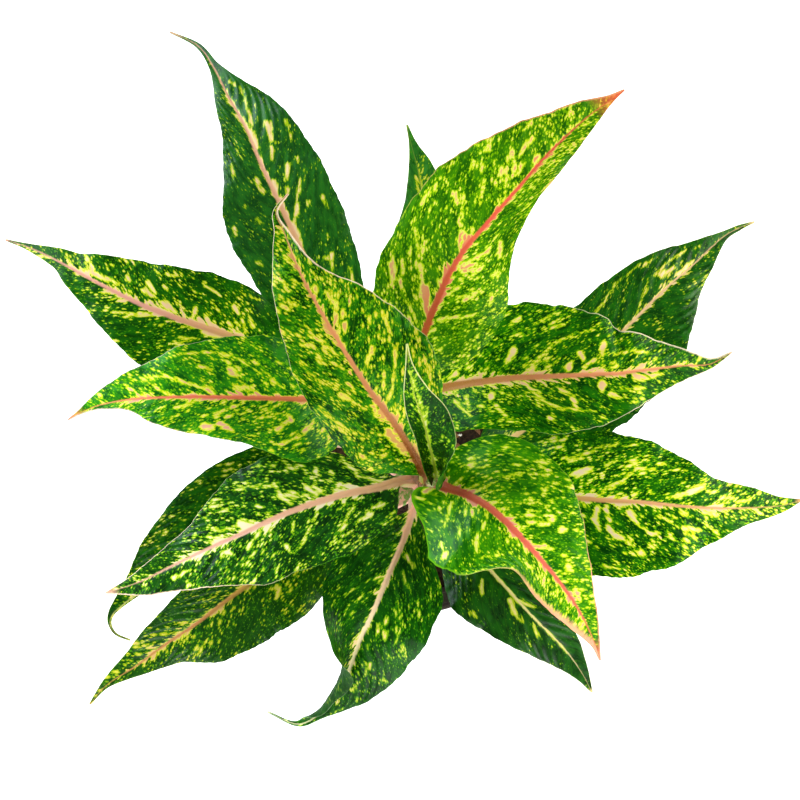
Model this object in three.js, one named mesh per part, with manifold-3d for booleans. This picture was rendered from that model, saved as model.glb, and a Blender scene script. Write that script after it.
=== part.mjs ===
// A potted Chinese evergreen (Aglaonema): two leafy stems in a round nursery pot filled with soil.
// Millimetres, +Z up. The origin is the centre of the pot's flat base. Seen from straight above,
// +X is the right-hand side and +Y is the back.
import * as THREE from 'three';
import { mergeVertices } from 'three/addons/utils/BufferGeometryUtils.js';
import Module from 'manifold-3d';

const wasm = await Module();
wasm.setup();

// ---- driving dimensions -------------------------------------------------------------------------

const GAP = 0.3; // clearance between pieces that touch on the real plant

const POT = {
  height: 140,
  baseRadius: 57,
  footChamfer: 2,
  shoulderRadius: 76,
  rimRadius: 82.5,
  rimBand: 15,
  rimRound: 1.2,
  wall: 2.2,
  floor: 2.6,
  segments: 60,
};
const DRAIN = { count: 8, holeRadius: 5, circleRadius: 42, segments: 14 };
const SOIL = { edgeHeight: 116, slopeHeight: 118.5, brinkHeight: 121, crownHeight: 122, crownRadius: 42 };

// Each stem leans a little from its foot, buried in the soil, to the node of its youngest leaf.
// Leaves that it has shed left scars on it at these heights, below the leaves that it still has.
const STEMS = {
  a: { foot: [9, -7, 72], top: [14, -4, 250], footRadius: 8.5, topRadius: 3.8, scars: [127, 134] },
  b: { foot: [-2, 33, 72], top: [-4, 42, 230], footRadius: 8, topRadius: 4.8, scars: [128, 138] },
};
const STEM_SIDES = 20;
const SCAR_HALF_HEIGHT = 1.4; // of the raised ring just under each leaf, or where one was
const SCAR_RISE = 0.7;
const SCAR_DROP = 2.4; // from a leaf's node down to the middle of its ring

// Leaf stations are read from above in perspective, from an eye on this vertical line. They are true
// size at READING_HEIGHT, and a higher point is drawn in towards the line, a lower one drawn out.
const EYE = { x: -3.6, y: 37.4, height: 1480 };
const READING_HEIGHT = 280;

const BLADE_THICKNESS = 0.9;
const TIP_HALF_WIDTH = 0.5;
const RIB_HALF_WIDTH = [3.0, 0.7]; // at the base and at the tip of the blade
const RIB_DEPTH = [3.2, 0.2]; // how far the midrib stands out of the underside
const CUP = -22; // degrees by which each half of a blade arches down towards its margin
const FINE_STEP = 13; // stations further apart than this get a ring between them

const SHEATH = { halfWidth: 7.5, curl: 48, ribHalfWidth: 4.5, ribDepth: 1.2 };
const PETIOLE = { halfWidth: 3.4, curl: 12, ribHalfWidth: 3.2, ribDepth: 3.0 };
const PETIOLE_STOPS = [0, 0.22, 0.48, 0.76]; // along the stalk, from the node to the blade
const SHEATH_SHARE = 0.42; // of the stalk, over which the sheath narrows into the petiole
const STALK_PULL = [0.42, 0.32]; // handles of the stalk's curve at node and blade, in its reach

const CREASE_WIDTH = 1.6; // width of the swelling round the midrib, in midrib widths
const FULL_RIPPLE_REACH = 14; // a blade narrower than this on one side ripples less
const SMALL_LOBES = [4, 4];
const LOBE_STATIONS = 3; // the lobes die out over this many stations

// Leaves, lowest first on each stem. node is the height of the leaf's node and azimuth the side of
// the stem that it grows from, in degrees from +X. fold lifts both halves of the blade at its base,
// middle and tip, and roll raises its left half. lobes is how far the margins reach back past the top
// of the stalk, curls bends one half of the blade at a station, and stalk thins the stalk. A station
// is [right, back, height, left, right]: the midrib's place as read from above, and how far the blade
// reaches to each side of it.
const LEAVES = [
  {
    name: 'leaf_front_left_low', stem: 'a', node: 142, azimuth: 215, lean: 34, age: 'old',
    fold: [20, 12, 16], roll: [0, -6, 0], ripple: 1.2, waves: 4, phase: 0.1,
    stations: [
      [-32, -67, 198, 3, 3], [-47, -76, 206, 20, 15], [-62, -85, 212, 26, 18], [-75, -92, 216, 27, 19],
      [-89, -102, 217, 26, 19], [-102, -112, 215, 22, 17], [-117, -122, 210, 12, 13],
      [-132, -133, 203, 5, 8], [-146, -142, 195, 1.5, 3], [-155, -152, 188, 0.5, 0.5],
    ],
  },
  {
    name: 'leaf_front_right', stem: 'a', node: 150, azimuth: 300, lean: 24, age: 'old',
    fold: [20, 14, 12], roll: [0, 4, 0], ripple: 1.0, waves: 4, phase: 0.6,
    stations: [
      [25, -67, 206, 3, 3], [34, -75, 214, 12, 16], [44, -84, 221, 15, 25], [55, -96, 225, 15, 24],
      [67, -109, 225, 12, 18], [81, -123, 219, 9, 11], [90, -135, 211, 4, 5],
      [96, -146, 203, 0.5, 0.5],
    ],
  },
  {
    name: 'leaf_right_back', stem: 'a', node: 162, azimuth: 40, lean: 26, age: 'old',
    fold: [22, 12, 16], roll: [0, 8, 4], ripple: 1.4, waves: 5, phase: 0.3,
    stations: [
      [43, -31, 212, 3, 3], [52, -22, 220, 12, 14], [70, -8, 229, 20, 26], [90, 14, 235, 24, 34],
      [113, 36, 238, 24, 33], [132, 55, 237, 20, 21], [147, 68, 232, 12, 10],
      [161, 80, 224, 3, 2.5], [170, 85, 219, 1.5, 1.3], [178, 88, 215, 0.5, 0.5],
    ],
  },
  {
    name: 'leaf_left_hooked', stem: 'a', node: 174, azimuth: 165, lean: 32, age: 'old',
    fold: [20, 10, 16], roll: [0, 0, 0], ripple: 0.8, waves: 4, phase: 0,
    stations: [
      [-41, -22, 228, 3, 3], [-57, -29, 234, 13, 10], [-75, -39, 239, 15, 13],
      [-91, -51, 241, 16, 15], [-105, -66, 239, 15, 15], [-117, -81, 234, 11, 14],
      [-128, -94, 227, 3, 10], [-138, -102, 222, 1.2, 5], [-143.5, -107, 219, 0.8, 2],
      [-145, -112, 217, 0.7, 0.8], [-142, -117, 215, 0.6, 0.6], [-135, -120, 213, 0.5, 0.5],
    ],
  },
  {
    name: 'leaf_right_front', stem: 'a', node: 186, azimuth: 0, lean: 24, age: 'middle',
    fold: [20, 10, 14], roll: [0, 0, 0], ripple: 1.3, waves: 5, phase: 0.2,
    stations: [
      [49, -42, 240, 3, 3], [62, -45, 248, 21, 17], [80, -48, 255, 31, 30], [100, -50, 259, 34, 37],
      [120, -51, 260, 31, 36], [140, -53, 257, 24, 28], [157, -54, 251, 15, 17],
      [172, -54, 244, 11, 8], [189, -53, 236, 5, 3], [201, -50, 229, 0.5, 0.5],
    ],
  },
  {
    name: 'leaf_front_middle', stem: 'a', node: 198, azimuth: 245, lean: 20, age: 'old',
    fold: [24, 18, 10], roll: [0, 0, 0], ripple: 1.2, waves: 3, phase: 0.4,
    curls: [['right', 4, 60], ['right', 5, 190], ['right', 6, 200], ['right', 7, 150]],
    stations: [
      [6, -57, 246, 3, 3], [1, -72, 255, 14, 20], [-6, -88, 260, 29, 27], [-13, -105, 260, 30, 28],
      [-20, -120, 254, 27, 22], [-25, -134, 244, 21, 16], [-30, -146, 232, 11, 12],
      [-39, -156, 219, 3, 7], [-51, -162, 208, 1, 1.5], [-66, -156, 198, 0.5, 0.5],
    ],
  },
  {
    name: 'leaf_front_left_wide', stem: 'a', node: 214, azimuth: 188, lean: 20, age: 'middle',
    fold: [22, 8, 14], roll: [10, 10, 0], ripple: 1.6, waves: 5, phase: 0.8,
    stations: [
      [-1, -41, 265, 3, 3], [-12, -44, 271, 18, 8], [-27, -47, 275, 28, 20],
      [-44, -52, 277, 30, 28], [-60, -58, 278, 29, 30], [-77, -66, 277, 28, 28],
      [-95, -74, 273, 20, 17], [-112, -82, 265, 14, 10], [-130, -90, 255, 7, 5],
      [-150, -95, 246, 0.5, 0.5],
    ],
  },
  {
    name: 'leaf_front_twisted', stem: 'a', node: 230, azimuth: 302, lean: 18, age: 'young', stalk: 0.8,
    fold: [16, 8, 14], roll: [0, 0, 0], ripple: 2.0, waves: 3, phase: 0.5, lobes: [2, 20],
    stations: [
      [22, -43, 280, 2.6, 2.6], [27, -45, 289, 14, 18], [35, -48, 297, 33, 36],
      [45, -54, 303, 38, 38], [56, -64, 305, 38, 33], [67, -76, 301, 31, 14],
      [79, -90, 293, 20, 14], [90, -106, 282, 9, 10], [97, -121, 270, 3, 3],
      [100, -130, 262, 0.5, 0.5],
    ],
  },
  {
    name: 'leaf_over_centre', stem: 'a', node: 240, azimuth: 142, lean: 12, age: 'young', stalk: 0.85,
    fold: [18, 12, 18], roll: [0, 0, 0], ripple: 1.6, waves: 5, phase: 0.3,
    stations: [
      [11.5, -36, 284, 2.8, 2.8], [5, -24, 299, 20, 12], [-4, -10, 316, 28, 30], [-16, 6, 328, 29, 38],
      [-28, 25, 336, 28, 34], [-40, 45, 340, 22, 24], [-50, 64, 338, 15, 9],
      [-58, 84, 331, 5, 2], [-62, 94, 326, 1.5, 1], [-56, 103, 322, 0.5, 0.5],
    ],
  },
  {
    name: 'leaf_young_rolled', stem: 'a', node: 'top', azimuth: 69, lean: 12, age: 'young', stalk: 0.7,
    fold: [20, 34, 20], roll: [0, 0, 0], ripple: 0.4, waves: 2, phase: 0,
    curls: [['left', 0, 90], ['right', 0, 120], ['left', 1, 70], ['right', 1, 130],
      ['left', 2, 40], ['right', 2, 80], ['left', 3, 30], ['right', 3, 50]],
    stations: [
      [19.5, -35, 290, 2.4, 2.4], [18.5, -28, 309, 8, 10], [17, -20, 327, 11, 14], [14, -10, 342, 13, 14],
      [10.5, 0, 356, 11, 9], [7, 8, 367, 6, 4], [4.5, 17, 377, 2, 1.5], [3.5, 28, 385, 0.5, 0.5],
    ],
  },
  {
    name: 'leaf_back_middle', stem: 'b', node: 150, azimuth: 66, lean: 20, age: 'old',
    fold: [20, 14, 16], roll: [0, 0, 0], ripple: 0.8, waves: 3, phase: 0,
    stations: [
      [2, 30, 205, 3, 3], [9, 55, 213, 20, 20], [12, 80, 218, 16, 16], [11.5, 100, 220, 9, 12],
      [8.5, 117, 217, 4, 7], [5.5, 128, 213, 1, 3], [3.5, 137.5, 208, 0.5, 0.5],
    ],
  },
  {
    name: 'leaf_back_left', stem: 'b', node: 164, azimuth: 112, lean: 24, age: 'old',
    fold: [20, 12, 20], roll: [0, -6, 0], ripple: 1.4, waves: 5, phase: 0.2,
    stations: [
      [-24, 19, 216, 3, 3], [-35, 44, 228, 21, 18], [-48, 72, 236, 28, 25], [-60, 98, 241, 30, 27],
      [-69, 117, 242, 21, 26], [-77, 136, 240, 12, 21], [-86, 152, 234, 7, 12],
      [-93, 166, 228, 2, 3], [-101, 177, 222, 1, 1.3], [-115, 184, 216, 0.5, 0.5],
    ],
  },
  {
    name: 'leaf_left_back', stem: 'b', node: 181, azimuth: 176, lean: 28, age: 'middle',
    fold: [20, 10, 14], roll: [0, 0, 0], ripple: 1.2, waves: 5, phase: 0.7,
    stations: [
      [-50, 14, 238, 3, 3], [-65, 24, 247, 20, 17], [-82, 31, 255, 26, 25], [-97, 36, 260, 28, 27],
      [-112, 41, 263, 29, 25], [-130, 48, 263, 24, 21], [-150, 58, 259, 15, 15],
      [-163, 65, 254, 9, 9], [-172, 70, 250, 3.5, 6], [-185, 76, 243, 1.5, 2],
      [-197, 80, 236, 0.5, 0.5],
    ],
  },
  {
    name: 'leaf_left_front', stem: 'b', node: 194, azimuth: 190, lean: 16, age: 'middle',
    fold: [20, 8, 14], roll: [0, 0, 0], ripple: 1.4, waves: 5, phase: 0.4,
    stations: [
      [-19, -1, 256, 3, 3], [-35, 0, 270, 24, 20], [-52, 0.5, 283, 31, 28], [-72, 1, 292, 25, 31],
      [-92, 1.5, 297, 20, 29], [-110, 1.5, 298, 17, 25], [-125, 1, 295, 12, 18],
      [-137, 0, 289, 5, 12], [-150, -2.5, 280, 2, 6], [-159, -6, 272, 1, 2],
      [-166, -10, 265, 0.5, 0.5],
    ],
  },
  {
    name: 'leaf_right_middle', stem: 'b', node: 206, azimuth: -15, lean: 18, age: 'middle',
    fold: [18, 10, 14], roll: [0, 0, 0], ripple: 1.5, waves: 5, phase: 0.9,
    stations: [
      [17, 5, 246, 3, 3], [27, 7, 254, 15, 15], [40, 9, 261, 27, 23], [57, 11, 267, 36, 26],
      [80, 12, 270, 35, 28], [102, 13, 269, 29, 24], [111, 13.5, 267, 22, 20],
      [122, 15, 264, 18, 16], [140, 17, 256, 10, 8], [155, 18, 249, 3, 2.5],
      [166, 24, 244, 0.5, 0.5],
    ],
  },
  {
    name: 'leaf_back_right', stem: 'b', node: 219, azimuth: 80, lean: 10, age: 'young',
    fold: [18, 12, 16], roll: [0, 0, 0], ripple: 1.4, waves: 5, phase: 0.1,
    stations: [
      [6, 14, 270, 3, 3], [10, 27, 285, 22, 22], [19, 51, 302, 33, 33], [30, 72, 314, 35, 29],
      [45, 90, 322, 37, 17], [60, 107, 325, 31, 11], [75, 124, 322, 21, 10],
      [92, 140, 313, 11, 6], [104, 149, 304, 3.5, 2], [112, 155, 298, 0.5, 0.5],
    ],
  },
];

// ---- materials ----------------------------------------------------------------------------------

const LEAF_COLOURS = { young: 0x5f9a1c, middle: 0x3f7f1a, old: 0x235c18 };

function potPlastic() {
  return new THREE.MeshStandardMaterial({ color: 0x2a211d, roughness: 0.5, metalness: 0 });
}

function pottingSoil() {
  return new THREE.MeshStandardMaterial({ color: 0x33251a, roughness: 1, metalness: 0 });
}

function stemSkin() {
  return new THREE.MeshStandardMaterial({ color: 0xa9a06a, roughness: 0.6, metalness: 0 });
}

function leafSkin(age) {
  return new THREE.MeshStandardMaterial({ color: LEAF_COLOURS[age], roughness: 0.4, metalness: 0 });
}

// ---- solids: closed meshes joined and cut ---------------------------------------------------------

function toSolid(geometry) {
  const bare = geometry.clone();
  bare.deleteAttribute('normal');
  bare.deleteAttribute('uv');
  const merged = mergeVertices(bare, 1e-4);
  const mesh = new wasm.Mesh({
    numProp: 3,
    vertProperties: new Float32Array(merged.attributes.position.array),
    triVerts: new Uint32Array(merged.index.array),
  });
  return new wasm.Manifold(mesh);
}

function toGeometry(solid) {
  const { vertProperties, triVerts } = solid.getMesh();
  const geometry = new THREE.BufferGeometry();
  geometry.setAttribute('position', new THREE.BufferAttribute(vertProperties, 3));
  geometry.setIndex(new THREE.BufferAttribute(triVerts, 1));
  return geometry;
}

/** A profile of [radius, height] pairs turned about the Z axis. */
function turned(profile, segments) {
  const points = profile.map(([radius, height]) => new THREE.Vector2(radius, height));
  const geometry = new THREE.LatheGeometry(points, segments);
  geometry.rotateX(Math.PI / 2);
  return geometry;
}

/** An upright cylinder between two heights. */
function uprightCylinder(radius, low, high, segments) {
  return turned([[0, low], [radius, low], [radius, high], [0, high]], segments);
}

// ---- pot and soil ---------------------------------------------------------------------------------

/** Radius of the pot's inner wall below the rim band, at one height. */
function potInnerRadius(height) {
  const shoulderHeight = POT.height - POT.rimBand;
  const outer = THREE.MathUtils.mapLinear(height, 0, shoulderHeight, POT.baseRadius, POT.shoulderRadius);
  return outer - POT.wall;
}

function potGeometry() {
  const shoulder = POT.height - POT.rimBand;
  const rimInner = POT.rimRadius - POT.wall;
  const profile = [
    [0, 0],
    [POT.baseRadius - POT.footChamfer, 0],
    [POT.baseRadius, POT.footChamfer],
    [POT.shoulderRadius, shoulder],
    [POT.rimRadius - POT.rimRound, shoulder],
    [POT.rimRadius, shoulder + POT.rimRound],
    [POT.rimRadius, POT.height - POT.rimRound],
    [POT.rimRadius - POT.rimRound, POT.height],
    [rimInner, POT.height - POT.rimRound],
    [rimInner, shoulder + POT.wall],
    [potInnerRadius(shoulder + POT.wall), shoulder + POT.wall],
    [potInnerRadius(POT.floor), POT.floor],
    [0, POT.floor],
  ];
  const holes = [];
  for (let i = 0; i < DRAIN.count; i += 1) {
    const angle = (i / DRAIN.count) * 2 * Math.PI;
    const hole = uprightCylinder(DRAIN.holeRadius, -1, POT.floor + 1, DRAIN.segments);
    hole.translate(DRAIN.circleRadius * Math.cos(angle), DRAIN.circleRadius * Math.sin(angle), 0);
    holes.push(toSolid(hole));
  }
  const body = toSolid(turned(profile, POT.segments));
  return toGeometry(holes.reduce((solid, hole) => solid.subtract(hole), body));
}

function soilGeometry() {
  const low = POT.floor + GAP;
  const profile = [
    [0, low],
    [potInnerRadius(low) - GAP, low],
    [potInnerRadius(SOIL.edgeHeight) - GAP, SOIL.edgeHeight],
    [(potInnerRadius(SOIL.edgeHeight) + SOIL.crownRadius) / 2, SOIL.slopeHeight],
    [SOIL.crownRadius, SOIL.brinkHeight],
    [SOIL.crownRadius / 2, SOIL.crownHeight],
    [0, SOIL.crownHeight],
  ];
  let solid = toSolid(turned(profile, POT.segments));
  for (const stem of Object.values(STEMS)) {
    solid = solid.subtract(toSolid(stemHole(stem)));
  }
  return toGeometry(solid);
}

// ---- stems ----------------------------------------------------------------------------------------

/** Point on a stem's axis at one height. */
function stemAxis(stem, height) {
  const foot = new THREE.Vector3(...stem.foot);
  const top = new THREE.Vector3(...stem.top);
  return foot.lerp(top, (height - stem.foot[2]) / (stem.top[2] - stem.foot[2]));
}

function stemRadius(stem, height) {
  return THREE.MathUtils.mapLinear(height, stem.foot[2], stem.top[2], stem.footRadius, stem.topRadius);
}

/** Stands an upright geometry that starts at height 0 on the stem's foot, along its lean. */
function placeOnStem(geometry, stem) {
  const foot = new THREE.Vector3(...stem.foot);
  const along = new THREE.Vector3(...stem.top).sub(foot).normalize();
  const turn = new THREE.Quaternion().setFromUnitVectors(new THREE.Vector3(0, 0, 1), along);
  geometry.applyQuaternion(turn);
  geometry.translate(foot.x, foot.y, foot.z);
  return geometry;
}

function stemLength(stem) {
  return new THREE.Vector3(...stem.top).distanceTo(new THREE.Vector3(...stem.foot));
}

function stemHole(stem) {
  const length = stemLength(stem);
  return placeOnStem(uprightCylinder(stem.footRadius + GAP, -GAP, length, STEM_SIDES), stem);
}

/** Heights of a stem's rings, lowest first. */
function ringHeights(key) {
  const nodes = LEAVES.filter((leaf) => leaf.stem === key && leaf.node !== 'top').map((leaf) => leaf.node);
  return [...STEMS[key].scars, ...nodes.map((node) => node - SCAR_DROP)].sort((a, b) => a - b);
}

/** A tapering stem with a raised ring at each leaf and each leaf scar. */
function stemGeometry(key) {
  const stem = STEMS[key];
  const length = stemLength(stem);
  const profile = [[0, 0], [stem.footRadius - 2, 0], [stem.footRadius, 2]];
  for (const height of ringHeights(key)) {
    const at = height - stem.foot[2];
    const radius = stemRadius(stem, height);
    profile.push([radius, at - SCAR_HALF_HEIGHT], [radius + SCAR_RISE, at], [radius, at + SCAR_HALF_HEIGHT]);
  }
  profile.push([stem.topRadius, length - 1], [stem.topRadius - 1.5, length], [0, length]);
  return placeOnStem(turned(profile, STEM_SIDES), stem);
}

// ---- leaves ---------------------------------------------------------------------------------------

const STATION_KEYS = [
  'x', 'y', 'z', 'left', 'right', 'fold', 'roll', 'curlLeft', 'curlRight',
  'ribHalfWidth', 'ribDepth', 'headX', 'headY', 'lobeLeft', 'lobeRight', 'wave',
];

/** Uniform Catmull-Rom value between p1 and p2. */
function catmullRom(p0, p1, p2, p3, u) {
  const square = 2 * p0 - 5 * p1 + 4 * p2 - p3;
  const cube = 3 * p1 - p0 - 3 * p2 + p3;
  return 0.5 * (2 * p1 + (p2 - p0) * u + square * u * u + cube * u * u * u);
}

/** All the values of a station list at t, counted in stations; past either end it runs on straight. */
function stationAt(stations, t) {
  const last = stations.length - 1;
  const i = Math.min(Math.floor(t), last - 1);
  const value = (index, key) => {
    if (index < 0) {
      return 2 * stations[0][key] - stations[1][key];
    }
    if (index > last) {
      return 2 * stations[last][key] - stations[last - 1][key];
    }
    return stations[index][key];
  };
  const result = {};
  for (const key of STATION_KEYS) {
    result[key] = catmullRom(value(i - 1, key), value(i, key), value(i + 1, key), value(i + 2, key), t - i);
  }
  return result;
}

/** Value at a fraction of the way along [base, middle, tip]. */
function alongThree([base, middle, tip], fraction) {
  if (fraction < 0.5) {
    return THREE.MathUtils.lerp(base, middle, fraction * 2);
  }
  return THREE.MathUtils.lerp(middle, tip, fraction * 2 - 1);
}

/** A station's readings as real place and size. */
function spreadAt(height) {
  return (EYE.height - height) / (EYE.height - READING_HEIGHT);
}

/** Stations of the blade, from the top of its stalk to its tip. */
function bladeStations(leaf) {
  const lobes = leaf.lobes ?? SMALL_LOBES;
  const last = leaf.stations.length - 1;
  const stations = leaf.stations.map(([right, back, height, leftReach, rightReach], i) => {
    const spread = spreadAt(height);
    const fraction = i / last;
    const lobeShare = Math.max(0, 1 - i / LOBE_STATIONS);
    return {
      x: EYE.x + right * spread,
      y: EYE.y + back * spread,
      z: height,
      left: leftReach * spread,
      right: rightReach * spread,
      fold: alongThree(leaf.fold, fraction),
      roll: alongThree(leaf.roll, fraction),
      curlLeft: CUP,
      curlRight: CUP,
      ribHalfWidth: THREE.MathUtils.lerp(...RIB_HALF_WIDTH, fraction),
      ribDepth: THREE.MathUtils.lerp(...RIB_DEPTH, fraction),
      lobeLeft: i === 0 ? 0 : lobes[0] * lobeShare,
      lobeRight: i === 0 ? 0 : lobes[1] * lobeShare,
      wave: leaf.waves * fraction + leaf.phase,
    };
  });
  for (const [side, index, degrees] of leaf.curls ?? []) {
    stations[index][side === 'left' ? 'curlLeft' : 'curlRight'] = degrees;
  }
  stations.forEach((station, i) => {
    const from = stations[Math.max(i - 1, 0)];
    const to = stations[Math.min(i + 1, last)];
    const run = Math.hypot(to.x - from.x, to.y - from.y);
    station.headX = (to.x - from.x) / run;
    station.headY = (to.y - from.y) / run;
  });
  return stations;
}

/** Stations of the stalk, from its sheath on the stem up to the blade. */
function stalkStations(leaf, blade) {
  const stem = STEMS[leaf.stem];
  const azimuth = THREE.MathUtils.degToRad(leaf.azimuth);
  const lean = THREE.MathUtils.degToRad(leaf.lean);
  const out = new THREE.Vector3(Math.cos(azimuth), Math.sin(azimuth), 0);
  const girth = leaf.stalk ?? 1;
  const onTop = leaf.node === 'top';
  const footDip = (PETIOLE.ribDepth * girth + BLADE_THICKNESS) * Math.sin(lean);
  const height = onTop ? stem.top[2] + GAP + footDip : leaf.node;
  const seat = onTop ? 0 : stemRadius(stem, height) + 2 * GAP + BLADE_THICKNESS / 2;
  const start = stemAxis(stem, height).addScaledVector(out, seat);
  const end = new THREE.Vector3(blade[0].x, blade[0].y, blade[0].z);
  const next = new THREE.Vector3(blade[1].x, blade[1].y, blade[1].z);
  const reach = end.distanceTo(start);
  const up = new THREE.Vector3(0, 0, Math.cos(lean)).addScaledVector(out, Math.sin(lean));
  const arrive = next.sub(end).normalize();
  const stalk = new THREE.CubicBezierCurve3(
    start,
    start.clone().addScaledVector(up, reach * STALK_PULL[0]),
    end.clone().addScaledVector(arrive, -reach * STALK_PULL[1]),
    end,
  );
  return PETIOLE_STOPS.map((stop) => {
    const point = stalk.getPoint(stop);
    const sheath = onTop ? 0 : Math.max(0, 1 - stop / SHEATH_SHARE);
    const mix = (key) => THREE.MathUtils.lerp(PETIOLE[key], SHEATH[key], sheath);
    const headX = THREE.MathUtils.lerp(out.x, blade[0].headX, stop);
    const headY = THREE.MathUtils.lerp(out.y, blade[0].headY, stop);
    const size = Math.hypot(headX, headY);
    return {
      x: point.x,
      y: point.y,
      z: point.z,
      left: mix('halfWidth') * girth,
      right: mix('halfWidth') * girth,
      fold: leaf.fold[0] * stop,
      roll: leaf.roll[0] * stop,
      curlLeft: mix('curl'),
      curlRight: mix('curl'),
      ribHalfWidth: mix('ribHalfWidth') * girth,
      ribDepth: mix('ribDepth') * girth,
      headX: headX / size,
      headY: headY / size,
      lobeLeft: 0,
      lobeRight: 0,
      wave: leaf.phase,
    };
  });
}

/** Unit vectors of a station's section: along the leaf, to its right, and out of its upper face. */
function sectionFrame(stations, t) {
  const step = 0.02;
  const before = stationAt(stations, Math.max(t - step, 0));
  const after = stationAt(stations, Math.min(t + step, stations.length - 1));
  const here = stationAt(stations, t);
  const along = new THREE.Vector3(after.x - before.x, after.y - before.y, after.z - before.z).normalize();
  const rightward = new THREE.Vector3(here.headY, -here.headX, 0);
  rightward.addScaledVector(along, -rightward.dot(along)).normalize();
  rightward.applyAxisAngle(along, THREE.MathUtils.degToRad(here.roll));
  const upward = new THREE.Vector3().crossVectors(rightward, along);
  return { here, along, rightward, upward };
}

/** Sideways and upward run of an arc of one length that starts at an angle and bends by curl. */
function arcRun(length, startAngle, curl) {
  if (Math.abs(curl) < 1e-3) {
    return [length * Math.cos(startAngle), length * Math.sin(startAngle)];
  }
  const endAngle = startAngle + curl;
  const sideways = (length * (Math.sin(endAngle) - Math.sin(startAngle))) / curl;
  const upwards = (length * (Math.cos(startAngle) - Math.cos(endAngle))) / curl;
  return [sideways, upwards];
}

/** Upper and lower point of the leaf at t, a share of the way from its midrib to one margin. */
function skinPoints(leaf, frame, side, reach) {
  const { here, along, rightward, upward } = frame;
  const sign = side === 'left' ? -1 : 1;
  const halfWidth = Math.max(side === 'left' ? here.left : here.right, TIP_HALF_WIDTH);
  const rib = Math.min(here.ribHalfWidth, halfWidth * 0.6);
  const distance = reach < 1 ? rib * reach : THREE.MathUtils.lerp(rib, halfWidth, reach - 1);
  const share = distance / halfWidth;
  const fold = THREE.MathUtils.degToRad(here.fold);
  const curl = THREE.MathUtils.degToRad(side === 'left' ? here.curlLeft : here.curlRight) * share;
  const [sideways, upwards] = arcRun(distance, fold, curl);
  const slope = fold + curl;
  const fullness = Math.min(1, halfWidth / FULL_RIPPLE_REACH);
  const ripple = leaf.ripple * fullness * share * share * Math.sin(2 * Math.PI * here.wave + (sign + 1));
  const lobe = (side === 'left' ? here.lobeLeft : here.lobeRight) * share * share;
  const middle = new THREE.Vector3(here.x, here.y, here.z)
    .addScaledVector(rightward, sign * sideways)
    .addScaledVector(upward, upwards + ripple)
    .addScaledVector(new THREE.Vector3(here.headX, here.headY, 0), -lobe);
  const normal = upward.clone().multiplyScalar(Math.cos(slope))
    .addScaledVector(rightward, -sign * Math.sin(slope));
  const ribShare = Math.min(1, distance / (here.ribHalfWidth * CREASE_WIDTH));
  const keel = here.ribDepth * Math.sqrt(1 - ribShare * ribShare);
  const half = BLADE_THICKNESS / 2;
  return {
    upper: middle.clone().addScaledVector(normal, half),
    lower: middle.addScaledVector(normal, -half - keel),
  };
}

/** One closed ring of points round the leaf at t: the upper face left to right, then the lower. */
function sectionRing(leaf, stations, t, reaches) {
  const frame = sectionFrame(stations, t);
  const left = reaches.map((reach) => skinPoints(leaf, frame, 'left', reach)).reverse();
  const right = reaches.slice(1).map((reach) => skinPoints(leaf, frame, 'right', reach));
  const row = [...left, ...right];
  return [...row.map((pair) => pair.upper), ...row.map((pair) => pair.lower).reverse()];
}

/** Where the rings stand along the stations: on each, and between two that are far apart. */
function ringStops(stations) {
  const stops = [];
  for (let i = 0; i < stations.length - 1; i += 1) {
    const a = stations[i];
    const b = stations[i + 1];
    stops.push(i);
    if (Math.hypot(b.x - a.x, b.y - a.y, b.z - a.z) > FINE_STEP && i >= PETIOLE_STOPS.length) {
      stops.push(i + 0.5);
    }
  }
  stops.push(stations.length - 1);
  return stops;
}

/** Rings of equal size joined into one closed skin, its two faces split into triangles alike. */
function skinGeometry(rings) {
  const size = rings[0].length;
  const positions = rings.flat().flatMap((point) => [point.x, point.y, point.z]);
  const indices = [];
  const quad = (a, b, c, d) => indices.push(a, b, c, a, c, d);
  for (let r = 0; r < rings.length - 1; r += 1) {
    for (let k = 0; k < size; k += 1) {
      const next = (k + 1) % size;
      const near = r * size;
      const far = near + size;
      if (k < size / 2) {
        quad(near + k, near + next, far + next, far + k);
      } else {
        quad(near + next, far + next, far + k, near + k);
      }
    }
  }
  const lastRing = (rings.length - 1) * size;
  for (let k = 0; k < size / 2 - 1; k += 1) {
    const opposite = size - 1 - k;
    quad(k, opposite, opposite - 1, k + 1);
    quad(lastRing + k, lastRing + k + 1, lastRing + opposite - 1, lastRing + opposite);
  }
  const geometry = new THREE.BufferGeometry();
  geometry.setAttribute('position', new THREE.Float32BufferAttribute(positions, 3));
  geometry.setIndex(indices);
  return geometry;
}

/** A whole leaf in one piece: sheath, stalk, midrib and waved blade. */
function leafGeometry(leaf) {
  const blade = bladeStations(leaf);
  const stations = [...stalkStations(leaf, blade), ...blade];
  const reaches = leaf.curls ? [0, 1, 1.33, 1.67, 2] : [0, 1, 1.5, 2];
  return skinGeometry(ringStops(stations).map((t) => sectionRing(leaf, stations, t, reaches)));
}

// ---- assembly -------------------------------------------------------------------------------------

function namedMesh(name, geometry, material) {
  const mesh = new THREE.Mesh(geometry, material);
  mesh.name = name;
  return mesh;
}

const plant = new THREE.Group();
plant.add(namedMesh('pot', potGeometry(), potPlastic()));
plant.add(namedMesh('soil', soilGeometry(), pottingSoil()));
for (const key of Object.keys(STEMS)) {
  plant.add(namedMesh(`stem_${key}`, stemGeometry(key), stemSkin()));
}
for (const leaf of LEAVES) {
  plant.add(namedMesh(leaf.name, leafGeometry(leaf), leafSkin(leaf.age)));
}

export default plant;
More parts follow.
